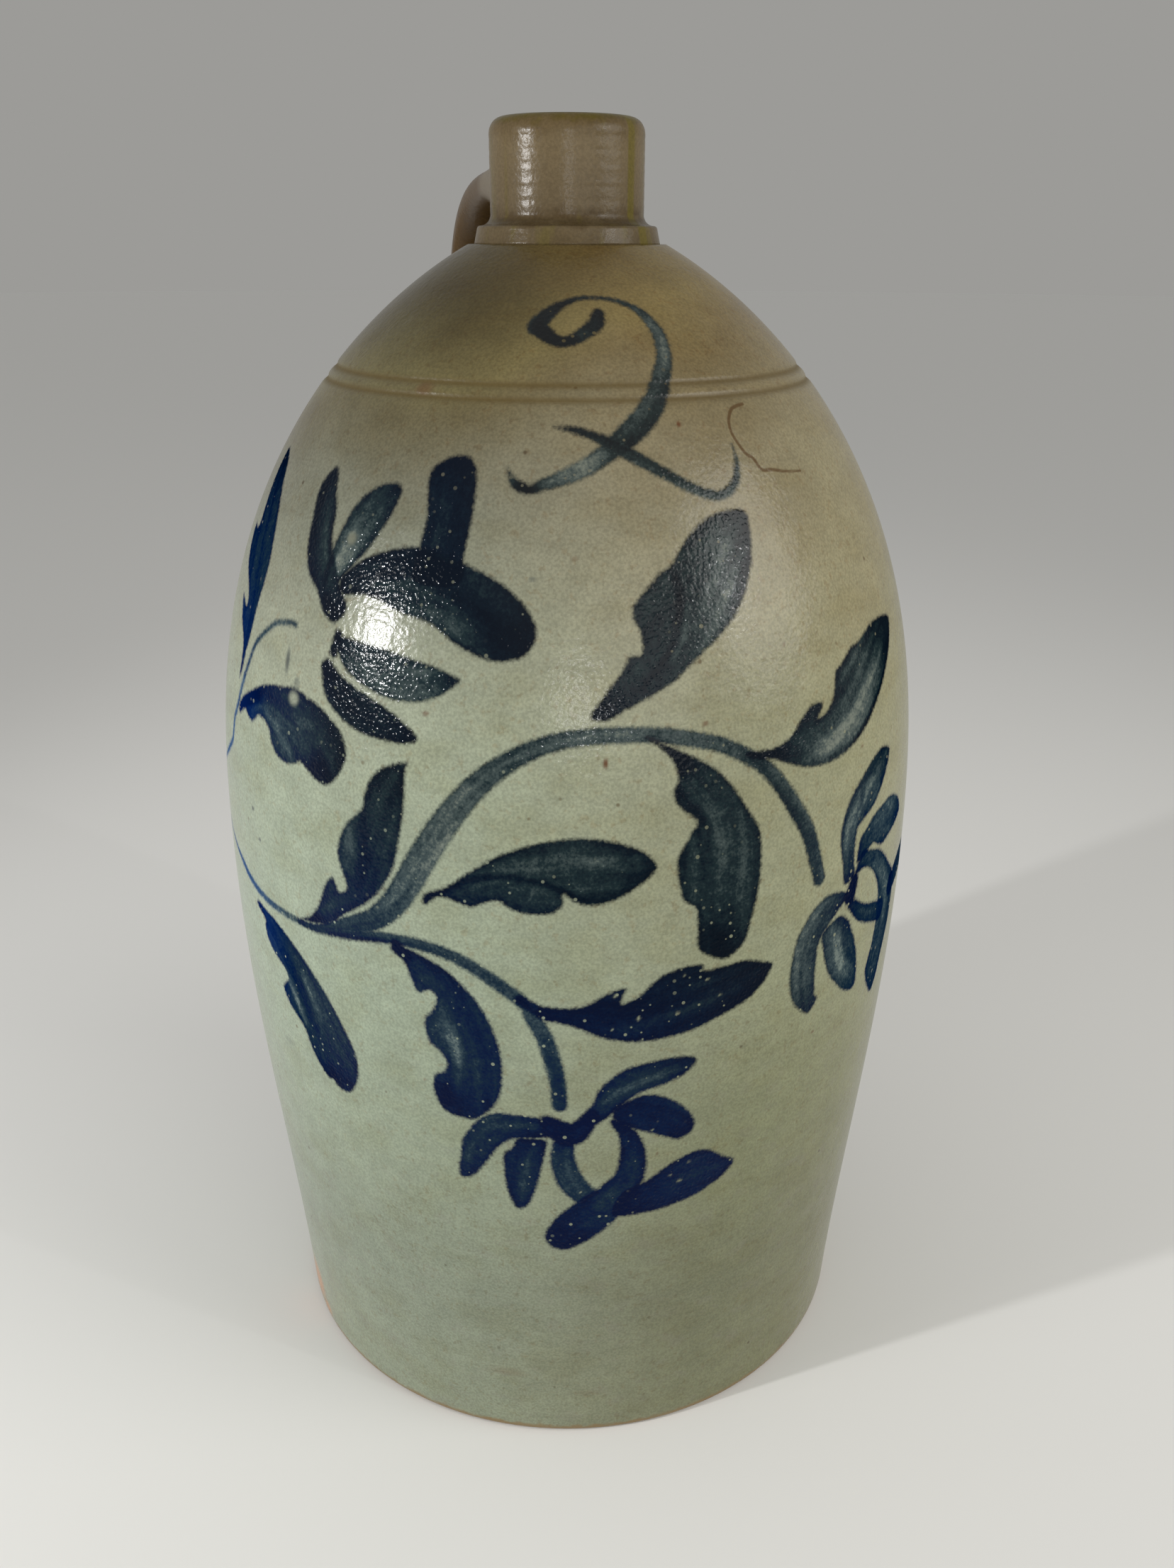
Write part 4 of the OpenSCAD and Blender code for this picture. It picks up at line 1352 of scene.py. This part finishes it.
@dataclass(frozen=True)
class ToastedStoneware:
    """The same clay where flame and salt toasted it: browner, with drips of olive glaze, for
    the neck and the handle. It gives the eye a duller gloss that breaks into short streaks
    on the throwing lines."""

    name: str = "toasted_stoneware"
    # Both are drawn coarser than on the jug, so that they show
    peel_mm: float = 1.4
    grit_mm: float = 0.7
    mottle_mm: float = 6.0
    drip_mm: float = 5.0
    roughness: float = 0.26
    ior: float = 1.5
    shine: float = 0.17
    drip_at: tuple[float, float, float] = (0.62, -0.785, 0.0)

    def material(self) -> bpy.types.Material:
        """Builds the material.

        Returns:
            The material.
        """
        made, add, mm = start_material(self.name)
        x, y, z = add("SeparateXYZ", (mm,)).outputs
        flat = add("CombineXYZ", (x, y))
        radius = add("VectorMath", (flat,), operation="LENGTH")
        behind = add("MapRange", (y, 22.0, 34.0), **SMOOTH)
        patchy = add("TexNoise", (mm, 1 / self.mottle_mm, 5.0))
        gritty = add("TexNoise", (mm, 1 / self.grit_mm, 3.0))
        grit = add("MapRange", (gritty, 0.3, 0.7, 0.88, 1.08), **SMOOTH)
        colour = self.toasted(add, z, behind, patchy)
        colour = self.dripped(add, mm, z, flat, patchy, colour)
        colour = self.cove_shade(add, z, radius, colour)
        colour = add("Mix", (1.0, colour, grit), **TIMES)
        colour = self.shaded_and_paled(add, z, behind, patchy, grit, colour)
        # The slip that lines the jug also covers the bore
        bore = add("MapRange", (radius, FORM.mouth_r + 1.6, FORM.mouth_r + 0.3), **SMOOTH)
        peel = add("TexNoise", (mm, 1 / self.peel_mm, 3.0))
        shader = add("BsdfPrincipled", {
            "Base Color": add("Mix", (bore, colour, linear("#33221a")), **LAID),
            "Roughness": self.roughness,
            "IOR": self.ior,
            "Specular IOR Level": self.shine,
            "Normal": add("Bump", {"Strength": 0.8, "Distance": 0.16 * MM, "Height": peel}),
        })
        add("OutputMaterial", (shader,))
        return made

    def toasted(self, add: AddNode, z: Source, behind: Source, patchy: Source) -> Source:
        """The brown of the neck, ring by ring up to the lip, and the strap's even brown.

        Args:
            add: Adds a node.
            z: The height.
            behind: How far behind the neck a place is, from 0 to 1.
            patchy: The mottling's noise.

        Returns:
            The colour.
        """
        drift = add("Math", (patchy, 10.0, z), operation="MULTIPLY_ADD")
        height = add("MapRange", (drift, 5 + FORM.seat_z, 5 + FORM.lip_z))
        even = add("Math", (behind, 0.5), operation="MULTIPLY")
        height = add("Math", (height, even), operation="MAXIMUM")
        return add("ValToRGB", (height,), ramp=(
            (0.0, "#564933"), (0.12, "#5e513b"), (0.2, "#4b3d28"), (0.32, "#60533e"),
            (0.75, "#6a5c44"), (0.93, "#5d4e35"), (1.0, "#473821")))

    def dripped(self, add: AddNode, mm: Source, z: Source, flat: Source, patchy: Source,
                colour: Source) -> Source:
        """Lays the ash glaze's drips over a colour.

        Args:
            add: Adds a node.
            mm: Places on the jug in millimetres.
            z: Their height.
            flat: The same places at no height.
            patchy: The mottling's noise.
            colour: The clay's brown.

        Returns:
            The colour with its drips.
        """
        # Drips run down from the lip as thin upright streaks
        upright = add("Mapping", {"Vector": mm, "Scale": (1.0, 1.0, 0.06)})
        streaks = add("TexNoise", (upright, 1 / self.drip_mm, 1.0))
        drips = add("MapRange", (streaks, 0.60, 0.72, 0.0, 0.45), **SMOOTH)
        colour = add("Mix", (drips, colour, linear("#5f5528")), **LAID)
        # One long drip of yellow ash glaze on the right, and ash on the lip's edge
        around = add("VectorMath", (flat,), operation="NORMALIZE")
        facing = add("VectorMath", (around, self.drip_at), operation="DOT_PRODUCT")
        ash = add("MapRange", (facing, 0.9965, 0.9992, 0.0, 0.7), **SMOOTH)
        drift = add("Math", (patchy, 10.0, z), operation="MULTIPLY_ADD")
        rim = add("MapRange", (drift, FORM.lip_z + 2.5, FORM.lip_z + 5.5, 0.0, 0.6), **SMOOTH)
        ash = add("Math", (ash, rim), operation="MAXIMUM")
        return add("Mix", (ash, colour, linear("#5d5318")), **LAID)

    def cove_shade(self, add: AddNode, z: Source, radius: Source, colour: Source) -> Source:
        """Paints shade into the cove where the neck meets its collar, as a darker line over a
        colour.

        Args:
            add: Adds a node.
            z: The height.
            radius: The distance from the axis.
            colour: The neck's colour.

        Returns:
            The colour with its line.
        """
        # Painted shade along the cove
        off = add("Math", (z, FORM.seat_z + 5.4), operation="SUBTRACT")
        off = add("Math", (off,), operation="ABSOLUTE")
        line = add("MapRange", (off, 1.5, 0.2, 0.0, 0.55), **SMOOTH)
        on_neck = add("MapRange", (radius, 28.0, 26.0), **SMOOTH)
        line = add("Math", (line, on_neck), operation="MULTIPLY")
        return add("Mix", (line, colour, linear("#3a2f1a")), **LAID)

    def shaded_and_paled(self, add: AddNode, z: Source, behind: Source, patchy: Source, grit: Source,
              colour: Source) -> Source:
        """Browns and darkens the strap behind the neck, partly its own toasted brown and partly
        painted shade, and pales it to the shoulder's clay at its foot.

        Args:
            add: Adds a node.
            z: The height.
            behind: How far behind the neck a place is, from 0 to 1.
            patchy: The mottling's noise.
            grit: The grit's shade.
            colour: The neck's colour.

        Returns:
            The colour with the strap's own tones.
        """
        # Behind the neck the strap is multiplied darker: partly its toasted brown, partly painted
        # shade
        colour = add("Mix", (behind, colour, linear("#c9b394")), **TIMES)
        foot = add("Math", (patchy, 16.0, z), operation="MULTIPLY_ADD")
        foot = add("MapRange", (foot, 340.0, 292.0), **SMOOTH)
        buff = add("Mix", (1.0, grit, linear("#827b67")), **TIMES)
        return add("Mix", (foot, colour, buff), **LAID)


@dataclass(frozen=True)
class BrownSlipGlaze:
    """Iron-rich clay slip poured round the inside. It gives the eye a dark chocolate gloss
    with pooled streaks."""

    name: str = "brown_slip_glaze"
    streak_mm: float = 6.0
    roughness: float = 0.16
    ior: float = 1.52

    def material(self) -> bpy.types.Material:
        """Builds the material.

        Returns:
            The material.
        """
        made, add, mm = start_material(self.name)
        poured = add("Mapping", {"Vector": mm, "Scale": (1.0, 1.0, 0.2)})
        streaks = add("TexNoise", (poured, 1 / self.streak_mm, 5.0))
        brown = add("ValToRGB", (streaks,), ramp=(
            (0.3, "#1e120b"), (0.55, "#3a2416"), (0.75, "#573820")))
        shader = add("BsdfPrincipled", {
            "Base Color": brown,
            "Roughness": self.roughness,
            "IOR": self.ior,
            "Normal": add("Bump", {"Strength": 0.3, "Distance": 0.2 * MM, "Height": streaks}),
        })
        add("OutputMaterial", (shader,))
        return made


@dataclass
class Body:
    """The thrown body: wall, shoulder, incised rings, floor and inside."""

    upper_ring_z: float = 303.6
    ring_gap: float = 3.2
    ring_depth: float = 0.55
    ring_half_width: float = 0.75
    # The mesh is fine where the brushwork lies: rows from a height up, columns across the
    # front, in degrees
    painted_from: float = 72.0
    row_step: float = 0.55
    plain_from: float = 2.6
    plain_step: float = 1.4
    dome_step: float = 2.5
    side_step: float = 5.0
    pole_r: float = 0.05
    front: tuple[float, float] = (-101.0, 74.0)
    front_step: float = 0.31
    back_step: float = 1.5

    def outline(self) -> np.ndarray:
        """The body's whole outline from the middle of the underside, round to the floor.

        Returns:
            Rows of radius and height.
        """
        f = FORM
        foot = arc((f.foot_r - f.foot_edge_r, f.foot_edge_r), f.foot_edge_r, -90, -4, 8)
        plain = np.arange(self.plain_from, self.painted_from, self.plain_step)
        low = [(float(f.radius(z)), z) for z in plain]
        heights = [self.painted_from]
        while heights[-1] < f.seat_z - 0.5:
            z = heights[-1]
            lean = float(f.radius(z) - f.radius(z + 0.5)) / 0.5
            heights.append(z + self.row_step / math.hypot(1, lean))
        high = [(float(f.radius(z)), z) for z in heights]
        outer = np.array([*foot, *low, *high, (float(f.radius(f.seat_z)), f.seat_z)])
        outer[:, 0] -= self.grooves(outer[:, 1])
        seat = [(f.mouth_r, f.seat_z)]
        inner_height = f.dome_h - f.crown_wall
        inner_belly = f.belly_r - f.wall
        tops = [z for z in np.arange(f.seat_z - 1, f.belly_z, -self.dome_step)
                if f.dome_r(z, inner_belly, inner_height) > f.mouth_r + 0.5]
        dome = [(float(f.dome_r(z, inner_belly, inner_height)), z) for z in tops]
        corner_top = f.floor_t + f.floor_corner_r
        below = np.arange(f.belly_z, corner_top, -self.side_step)
        side = [(float(f.side_r(z)) - f.wall, z) for z in below]
        centre = (float(f.side_r(corner_top)) - f.wall - f.floor_corner_r, corner_top)
        corner = arc(centre, f.floor_corner_r, 0, -90, 6)
        inner = [*seat, *dome, *side, *corner, (self.pole_r, f.floor_t)]
        under = [(self.pole_r, 0.0), (f.foot_r * 0.5, 0.0)]
        return np.concatenate([under, outer, inner])

    def grooves(self, z: np.ndarray) -> np.ndarray:
        """Depth of the two incised rings, each with a soft shoulder.

        Args:
            z: Heights.

        Returns:
            Depths in millimetres.
        """
        depth = np.zeros(len(z))
        for ring in (self.upper_ring_z, self.upper_ring_z - self.ring_gap):
            depth += self.ring_depth * np.exp(-(((z - ring) / self.ring_half_width) ** 2))
        return depth

    def columns(self) -> np.ndarray:
        """Spaces the mesh's columns, close together across the painted front.

        Returns:
            Their angles in degrees.
        """
        start, end = self.front
        fine = np.arange(start, end, self.front_step)
        rest = np.linspace(end, start + 360, round((start + 360 - end) / self.back_step) + 1)
        return np.concatenate([fine, rest[:-1]])

    def brushed(self, theta: np.ndarray, z: np.ndarray) -> Brushwork:
        """Paints the wall touch by touch, then thickens and thins the cobalt.

        Args:
            theta: Angles of the wall's vertices in degrees.
            z: Their heights.

        Returns:
            The brushwork on those vertices.
        """
        brush = Brushwork(theta, z)
        touches = (*STEMS, *LEAVES, *UPPER_FLOWER, *RIGHT_FLOWER, *LOWER_FLOWER, *FIGURE)
        for number, touch in enumerate(touches):
            brush.paint(touch, number)
        for place in POOLS:
            brush.pool(place)
        log.info("%d touches of the brush and %d pools", len(touches), len(POOLS))
        return brush

    def build(self, finish: bpy.types.Material) -> bpy.types.Object:
        """Makes the body and paints it.

        Args:
            finish: The salt-glazed clay.

        Returns:
            The body's object.
        """
        outline = self.outline()
        angles = self.columns()
        mesh = Grid(revolve(outline, angles)).mesh("jug_body")
        theta = np.tile((angles + 180) % 360 - 180, len(outline))
        z = np.repeat(outline[:, 1], len(angles))
        outer_rows = int(outline[:, 1].argmax()) + 1
        wall = np.flatnonzero(np.repeat(np.arange(len(outline)) < outer_rows, len(angles)))
        brush = self.brushed(theta[wall], z[wall])
        for name, values, rest in (
            ("edge", brush.edge, -Brushwork.REACH),
            ("load", brush.load, 0.0),
            ("blue", brush.blue, 0.0),
            ("along", brush.along, 0.0),
            ("across", brush.across, 0.0),
            ("iron", brush.spots(IRON_MARKS), 0.0),
            ("smudge", brush.spots(SMUDGES), 0.0),
            ("scrape", brush.spots(SCRAPES), 0.0),
            ("bare", brush.spots(BARE_MARKS), 0.0),
            ("hairline", brush.hairline(), -Brushwork.CRACK_REACH),
            ("groove", self.grooves(z[wall]) / self.ring_depth, 0.0),
        ):
            every = np.full(len(z), rest)
            every[wall] = values
            set_values(mesh, name, every)
        return add_piece(mesh, finish, "salt_glazed_clay", "body")


@dataclass
class Neck:
    """The thrown neck: collar, cove, straight spout and rolled lip."""

    neck_r: float = 20.8
    lip_outer_r: float = 4.0
    lip_inner_r: float = 2.5
    collar_h: float = 3.6
    collar_lean: float = 0.8
    cove_r: float = 2.7
    # The throwing lines: their depth, their two waves in radians per millimetre, and the
    # second wave's share of the first
    ripple: float = 0.07
    waves: tuple[float, float] = (2.1, 3.7)
    second_wave: float = 0.6
    columns: int = 240

    def build(self, finish: bpy.types.Material) -> bpy.types.Object:
        """Makes the neck.

        Args:
            finish: The toasted clay.

        Returns:
            The neck's object.
        """
        f = FORM
        band_top = f.seat_z + self.collar_h
        edge = f.collar_r - self.collar_lean - self.neck_r - self.cove_r
        outline = [
            (f.mouth_r, f.seat_z),
            (f.collar_r, f.seat_z),
            *arc((self.neck_r + self.cove_r, band_top), edge, 0, 90, 6),
            *arc((self.neck_r + self.cove_r, band_top + edge + self.cove_r), self.cove_r,
                 270, 180, 10),
            *arc((self.neck_r - self.lip_outer_r, f.lip_z - self.lip_outer_r),
                 self.lip_outer_r, 0, 90, 14),
            *arc((f.mouth_r + self.lip_inner_r, f.lip_z - self.lip_inner_r),
                 self.lip_inner_r, 90, 180, 10),
            (f.mouth_r, f.seat_z),
        ]
        outline = evenly(outline, 0.5)
        # The fingertips' ripples run only on the upright wall
        height = outline[:, 1]
        upright = (outline[:, 0] > self.neck_r - 1) & (height > band_top + 2)
        first, second = self.waves
        crest = 1 + self.second_wave
        wave = np.sin(height * first) + self.second_wave * np.sin(height * second + 1)
        outline[:, 0] -= np.where(upright, self.ripple * (wave + crest) / (2 * crest), 0)
        angles = np.arange(self.columns) * 360 / self.columns
        mesh = Grid(revolve(outline, angles)).mesh("jug_neck")
        return add_piece(mesh, finish, "toasted_clay", "neck")


@dataclass
class Strap:
    """The pulled strap handle and the clay worked round its two ends."""

    path: tuple[tuple[float, float], ...] = ((3, 348), (57, 354), (101, 347), (78, 255))
    width: float = 36.0
    thickness: float = 12.0
    square: float = 2.6
    sides: int = 72
    rings: int = 150
    cuts: int = 800
    # How deep the strap's ends sink into the clay, and how far the lutings' thin edges
    # lie under the strap's surface
    root: float = 3.0
    thin_edge: float = 0.5
    neck_flare: float = 3.5
    neck_side_flare: float = 0.7
    neck_luting_to: float = 0.3
    shoulder_flare: float = 4.0
    shoulder_luting_from: float = 0.72

    def lines(self, t: np.ndarray, grow_side: np.ndarray, grow_thick: np.ndarray) -> np.ndarray:
        """The strap's lengthwise lines.

        Args:
            t: Shares of the path, from the neck to the shoulder.
            grow_side: How far the section is grown sideways at each share.
            grow_thick: How far it is grown in thickness.

        Returns:
            Array of shares by sides by 3.
        """
        p = np.asarray(self.path, float)
        s = 1 - t
        middle = (np.outer(s**3, p[0]) + np.outer(3 * s**2 * t, p[1])
                  + np.outer(3 * s * t**2, p[2]) + np.outer(t**3, p[3]))
        ahead = (np.outer(s**2, p[1] - p[0]) + np.outer(2 * s * t, p[2] - p[1])
                 + np.outer(t**2, p[3] - p[2]))
        ahead /= np.linalg.norm(ahead, axis=1)[:, None]
        a = -2 * np.pi * np.arange(self.sides) / self.sides
        power = 2 / self.square
        x = np.sign(np.cos(a)) * np.abs(np.cos(a)) ** power
        o = np.sign(np.sin(a)) * np.abs(np.sin(a)) ** power
        x = np.outer(self.width / 2 + grow_side, x)
        o = np.outer(self.thickness / 2 + grow_thick, o)
        y = middle[:, :1] - ahead[:, 1:] * o
        z = middle[:, 1:] + ahead[:, :1] * o
        return np.stack([x, y, z], -1)

    def depth(self, points: np.ndarray) -> np.ndarray:
        """Measures points against the neck and the body.

        Args:
            points: Array whose last axis is x, y and z.

        Returns:
            How far each point lies inside one of them, in millimetres.
        """
        r = np.hypot(points[..., 0], points[..., 1])
        z = points[..., 2]
        neck = np.where(z > FORM.seat_z, Neck.neck_r - r, -np.inf)
        lean = FORM.radius(z - 0.5) - FORM.radius(z + 0.5)
        body = np.where(z < FORM.seat_z, (FORM.radius(z) - r) / np.hypot(1, lean), -np.inf)
        return np.maximum(neck, body)

    def trimmed(self, lines: np.ndarray, at_start: bool, at_end: bool) -> np.ndarray:
        """Cuts each lengthwise line where it has sunk a little way into the clay.

        Args:
            lines: Array of shares by sides by 3.
            at_start: Whether the first end sinks in.
            at_end: Whether the last end sinks in.

        Returns:
            Lines of the same number of points between the cuts.
        """
        deep = self.depth(lines) - self.root
        made = np.empty((self.rings, lines.shape[1], 3))
        half = len(lines) // 2
        for k in range(lines.shape[1]):
            inside = np.flatnonzero(deep[:half, k] > 0)
            first = inside[-1] if at_start and len(inside) else 0
            inside = np.flatnonzero(deep[half:, k] > 0)
            last = half + inside[0] if at_end and len(inside) else len(lines) - 1
            where = np.linspace(first, last, self.rings)
            for axis in range(3):
                made[:, k, axis] = np.interp(where, np.arange(len(lines)), lines[:, k, axis])
        return made

    def build(self, toasted: bpy.types.Material, glazed: bpy.types.Material) -> None:
        """Makes the strap and both lutings.

        Args:
            toasted: Finish of the strap and of the clay at the neck.
            glazed: Finish of the clay at the shoulder.
        """
        t = np.linspace(0, 1, self.cuts)
        flat = 0 * t
        strap = self.trimmed(self.lines(t, flat, flat), True, True)
        add_piece(Grid(strap).mesh("strap_handle", True), toasted, "toasted_clay", "handle")
        fade = self.thin_edge
        t_neck = self.neck_luting_to * t
        grow = -fade + (self.neck_flare + fade) * (1 - t) ** 2
        clay = self.lines(t_neck, grow * self.neck_side_flare, grow)
        clay = self.trimmed(clay, True, False)
        add_piece(Grid(clay).mesh("clay_at_neck", True), toasted, "toasted_clay", "neck_luting")
        start = self.shoulder_luting_from
        t_foot = start + (1 - start) * t
        grow = -fade + (self.shoulder_flare + fade) * t**2
        clay = self.trimmed(self.lines(t_foot, grow, grow), False, True)
        mesh = Grid(clay).mesh("clay_at_shoulder", True)
        # No brushwork and no hairline reach it
        for name, away in (("edge", Brushwork.REACH), ("hairline", Brushwork.CRACK_REACH)):
            set_values(mesh, name, np.full(len(mesh.vertices), -away))
        add_piece(mesh, glazed, "salt_glazed_clay", "shoulder_luting")


@dataclass(frozen=True)
class Lamp:
    """A soft round lamp that faces the middle of the jug. It is a spot, because the edge of a
    flat panel draws a line on the floor. Azimuth is in degrees from the jug's front,
    elevation above its middle, away and size in metres."""

    name: str
    azimuth: float
    elevation: float
    away: float
    size: float
    watts: float
    colour: str = "#ffffff"
    aim_z: float = 0.2
    beam: float = 80.0
    softness: float = 0.8

    def build(self) -> None:
        """Adds the lamp to the scene."""
        data = bpy.data.lights.new(self.name, "SPOT")
        data.shadow_soft_size = self.size / 2
        data.spot_size = math.radians(self.beam)
        data.spot_blend = self.softness
        data.energy = self.watts
        data.color = linear(self.colour)[:3]
        a, e = math.radians(self.azimuth), math.radians(self.elevation)
        away_from = Vector((math.sin(a) * math.cos(e), -math.cos(a) * math.cos(e), math.sin(e)))
        lamp = bpy.data.objects.new(self.name, data)
        lamp.location = Vector((0, 0, self.aim_z)) + away_from * self.away
        lamp.rotation_mode = "QUATERNION"
        lamp.rotation_quaternion = away_from.to_track_quat("Z", "Y")
        bpy.context.scene.collection.objects.link(lamp)


# Three broad lamps, each with a small bright one for the sparks in the glaze
LAMPS = (
    Lamp("key", -77, 14, 1.1, 0.3, 5.5, "#fffdfa"),
    Lamp("key_spark", -77, 14, 1.1, 0.04, 24),
    Lamp("front", 12, 12, 1.6, 0.9, 10, "#fffffa"),
    Lamp("front_spark", -12, 8, 1.4, 0.03, 6),
    Lamp("right", 51, 24, 1.4, 1.0, 34, "#fffdf8"),
    Lamp("right_spark", 42, 23, 1.4, 0.025, 5),
)


@dataclass
class Studio:
    """Camera, floor, room and lamps. The camera's sizes are the photograph's in pixels, and
    its place and angles as fitted to it, in millimetres and degrees."""

    image_px: tuple[int, int] = (1656, 2212)
    focal_px: float = 1900.0
    sensor_mm: float = 36.0
    azimuth: float = -15.0
    distance_mm: float = 396.0
    eye_mm: float = 336.84
    yaw: float = 0.852
    pitch: float = 22.197
    roll: float = 0.193
    floor_colour: str = "#e2e1de"
    backdrop_colour: str = "#9c9b98"
    world_colour: str = "#f2f2f0"
    world_strength: float = 0.5
    floor_rings: tuple[int, ...] = (1, 300, 1000, 3000, 9000)

    def camera(self) -> None:
        """Sets the camera at the photograph's angle and distance."""
        data = bpy.data.cameras.new("camera")
        data.sensor_width = self.sensor_mm
        data.lens = self.focal_px / max(self.image_px) * self.sensor_mm
        data.clip_start = 0.01
        data.clip_end = 50
        side, up, back = self.camera_axes()
        turn = Matrix((side, up, back)).transposed().to_4x4()
        a = math.radians(self.azimuth)
        eye = Vector((math.sin(a), -math.cos(a), 0)) * self.distance_mm
        eye.z = self.eye_mm
        camera = bpy.data.objects.new("camera", data)
        camera.matrix_world = Matrix.Translation(eye * MM) @ turn
        bpy.context.scene.collection.objects.link(camera)
        bpy.context.scene.camera = camera

    def camera_axes(self) -> tuple[Vector, Vector, Vector]:
        """Turns the camera's angles into directions.

        Returns:
            Its right, up and backward directions in the part's frame.
        """
        yaw, pitch, roll = (math.radians(v) for v in (self.yaw, self.pitch, self.roll))
        ahead = Vector((math.sin(yaw) * math.cos(pitch), math.cos(yaw) * math.cos(pitch),
                        -math.sin(pitch)))
        right = ahead.cross(Vector((0, 0, 1))).normalized()
        up = right.cross(ahead)
        side = right * math.cos(roll) + up * math.sin(roll)
        top = up * math.cos(roll) - right * math.sin(roll)
        turn = Matrix.Rotation(math.radians(self.azimuth), 3, "Z")
        return turn @ side, turn @ top, turn @ -ahead

    def floor(self) -> None:
        """Adds a plain pale floor that reaches to the horizon."""
        material = bpy.data.materials.new("pale_floor")
        material.use_nodes = True
        material.node_tree.nodes.clear()
        add = partial(add_node, material.node_tree)
        shader = add("BsdfPrincipled", {"Base Color": linear(self.floor_colour),
                                        "Roughness": 0.9})
        add("OutputMaterial", (shader,))
        rings = np.array([(radius, 0) for radius in self.floor_rings])
        mesh = Grid(revolve(rings, np.arange(0, 360, 5))).mesh("floor")
        mesh.materials.append(material)
        floor = bpy.data.objects.new("floor", mesh)
        bpy.context.scene.collection.objects.link(floor)

    def world(self) -> None:
        """Fills the room with soft even light."""
        world = bpy.data.worlds.new("room")
        world.use_nodes = True
        world.node_tree.nodes.clear()
        add = partial(add_node, world.node_tree)
        glow = add("Background", {"Color": linear(self.world_colour),
                                  "Strength": self.world_strength})
        # The camera and the gloss see a backdrop of the far floor's tone, without a horizon
        drop = add("Background", {"Color": linear(self.backdrop_colour), "Strength": 1.0})
        path = add("LightPath").outputs
        seen = add("Math", (path["Is Camera Ray"], path["Is Glossy Ray"]), operation="MAXIMUM")
        seen = add("Math", (seen, path["Is Transmission Ray"]), operation="MAXIMUM")
        add("OutputWorld", (add("MixShader", (seen, glow, drop)),))
        bpy.context.scene.world = world
        bpy.context.scene.view_settings.view_transform = "Standard"

    def build(self) -> None:
        """Sets up the whole studio."""
        self.camera()
        self.floor()
        self.world()
        for lamp in LAMPS:
            lamp.build()


def main() -> None:
    """Builds the jug and its studio."""
    Studio().build()
    glazed = SaltGlazedStoneware().material()
    toasted = ToastedStoneware().material()
    Body().build(glazed)
    Neck().build(toasted)
    Strap().build(toasted, glazed)
    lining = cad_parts["slip_lining"]
    lining.data.materials.clear()
    lining.data.materials.append(BrownSlipGlaze().material())
    log.info("slip_lining: the solid itself, in brown slip glaze")


if __name__ == "__main__":
    main()
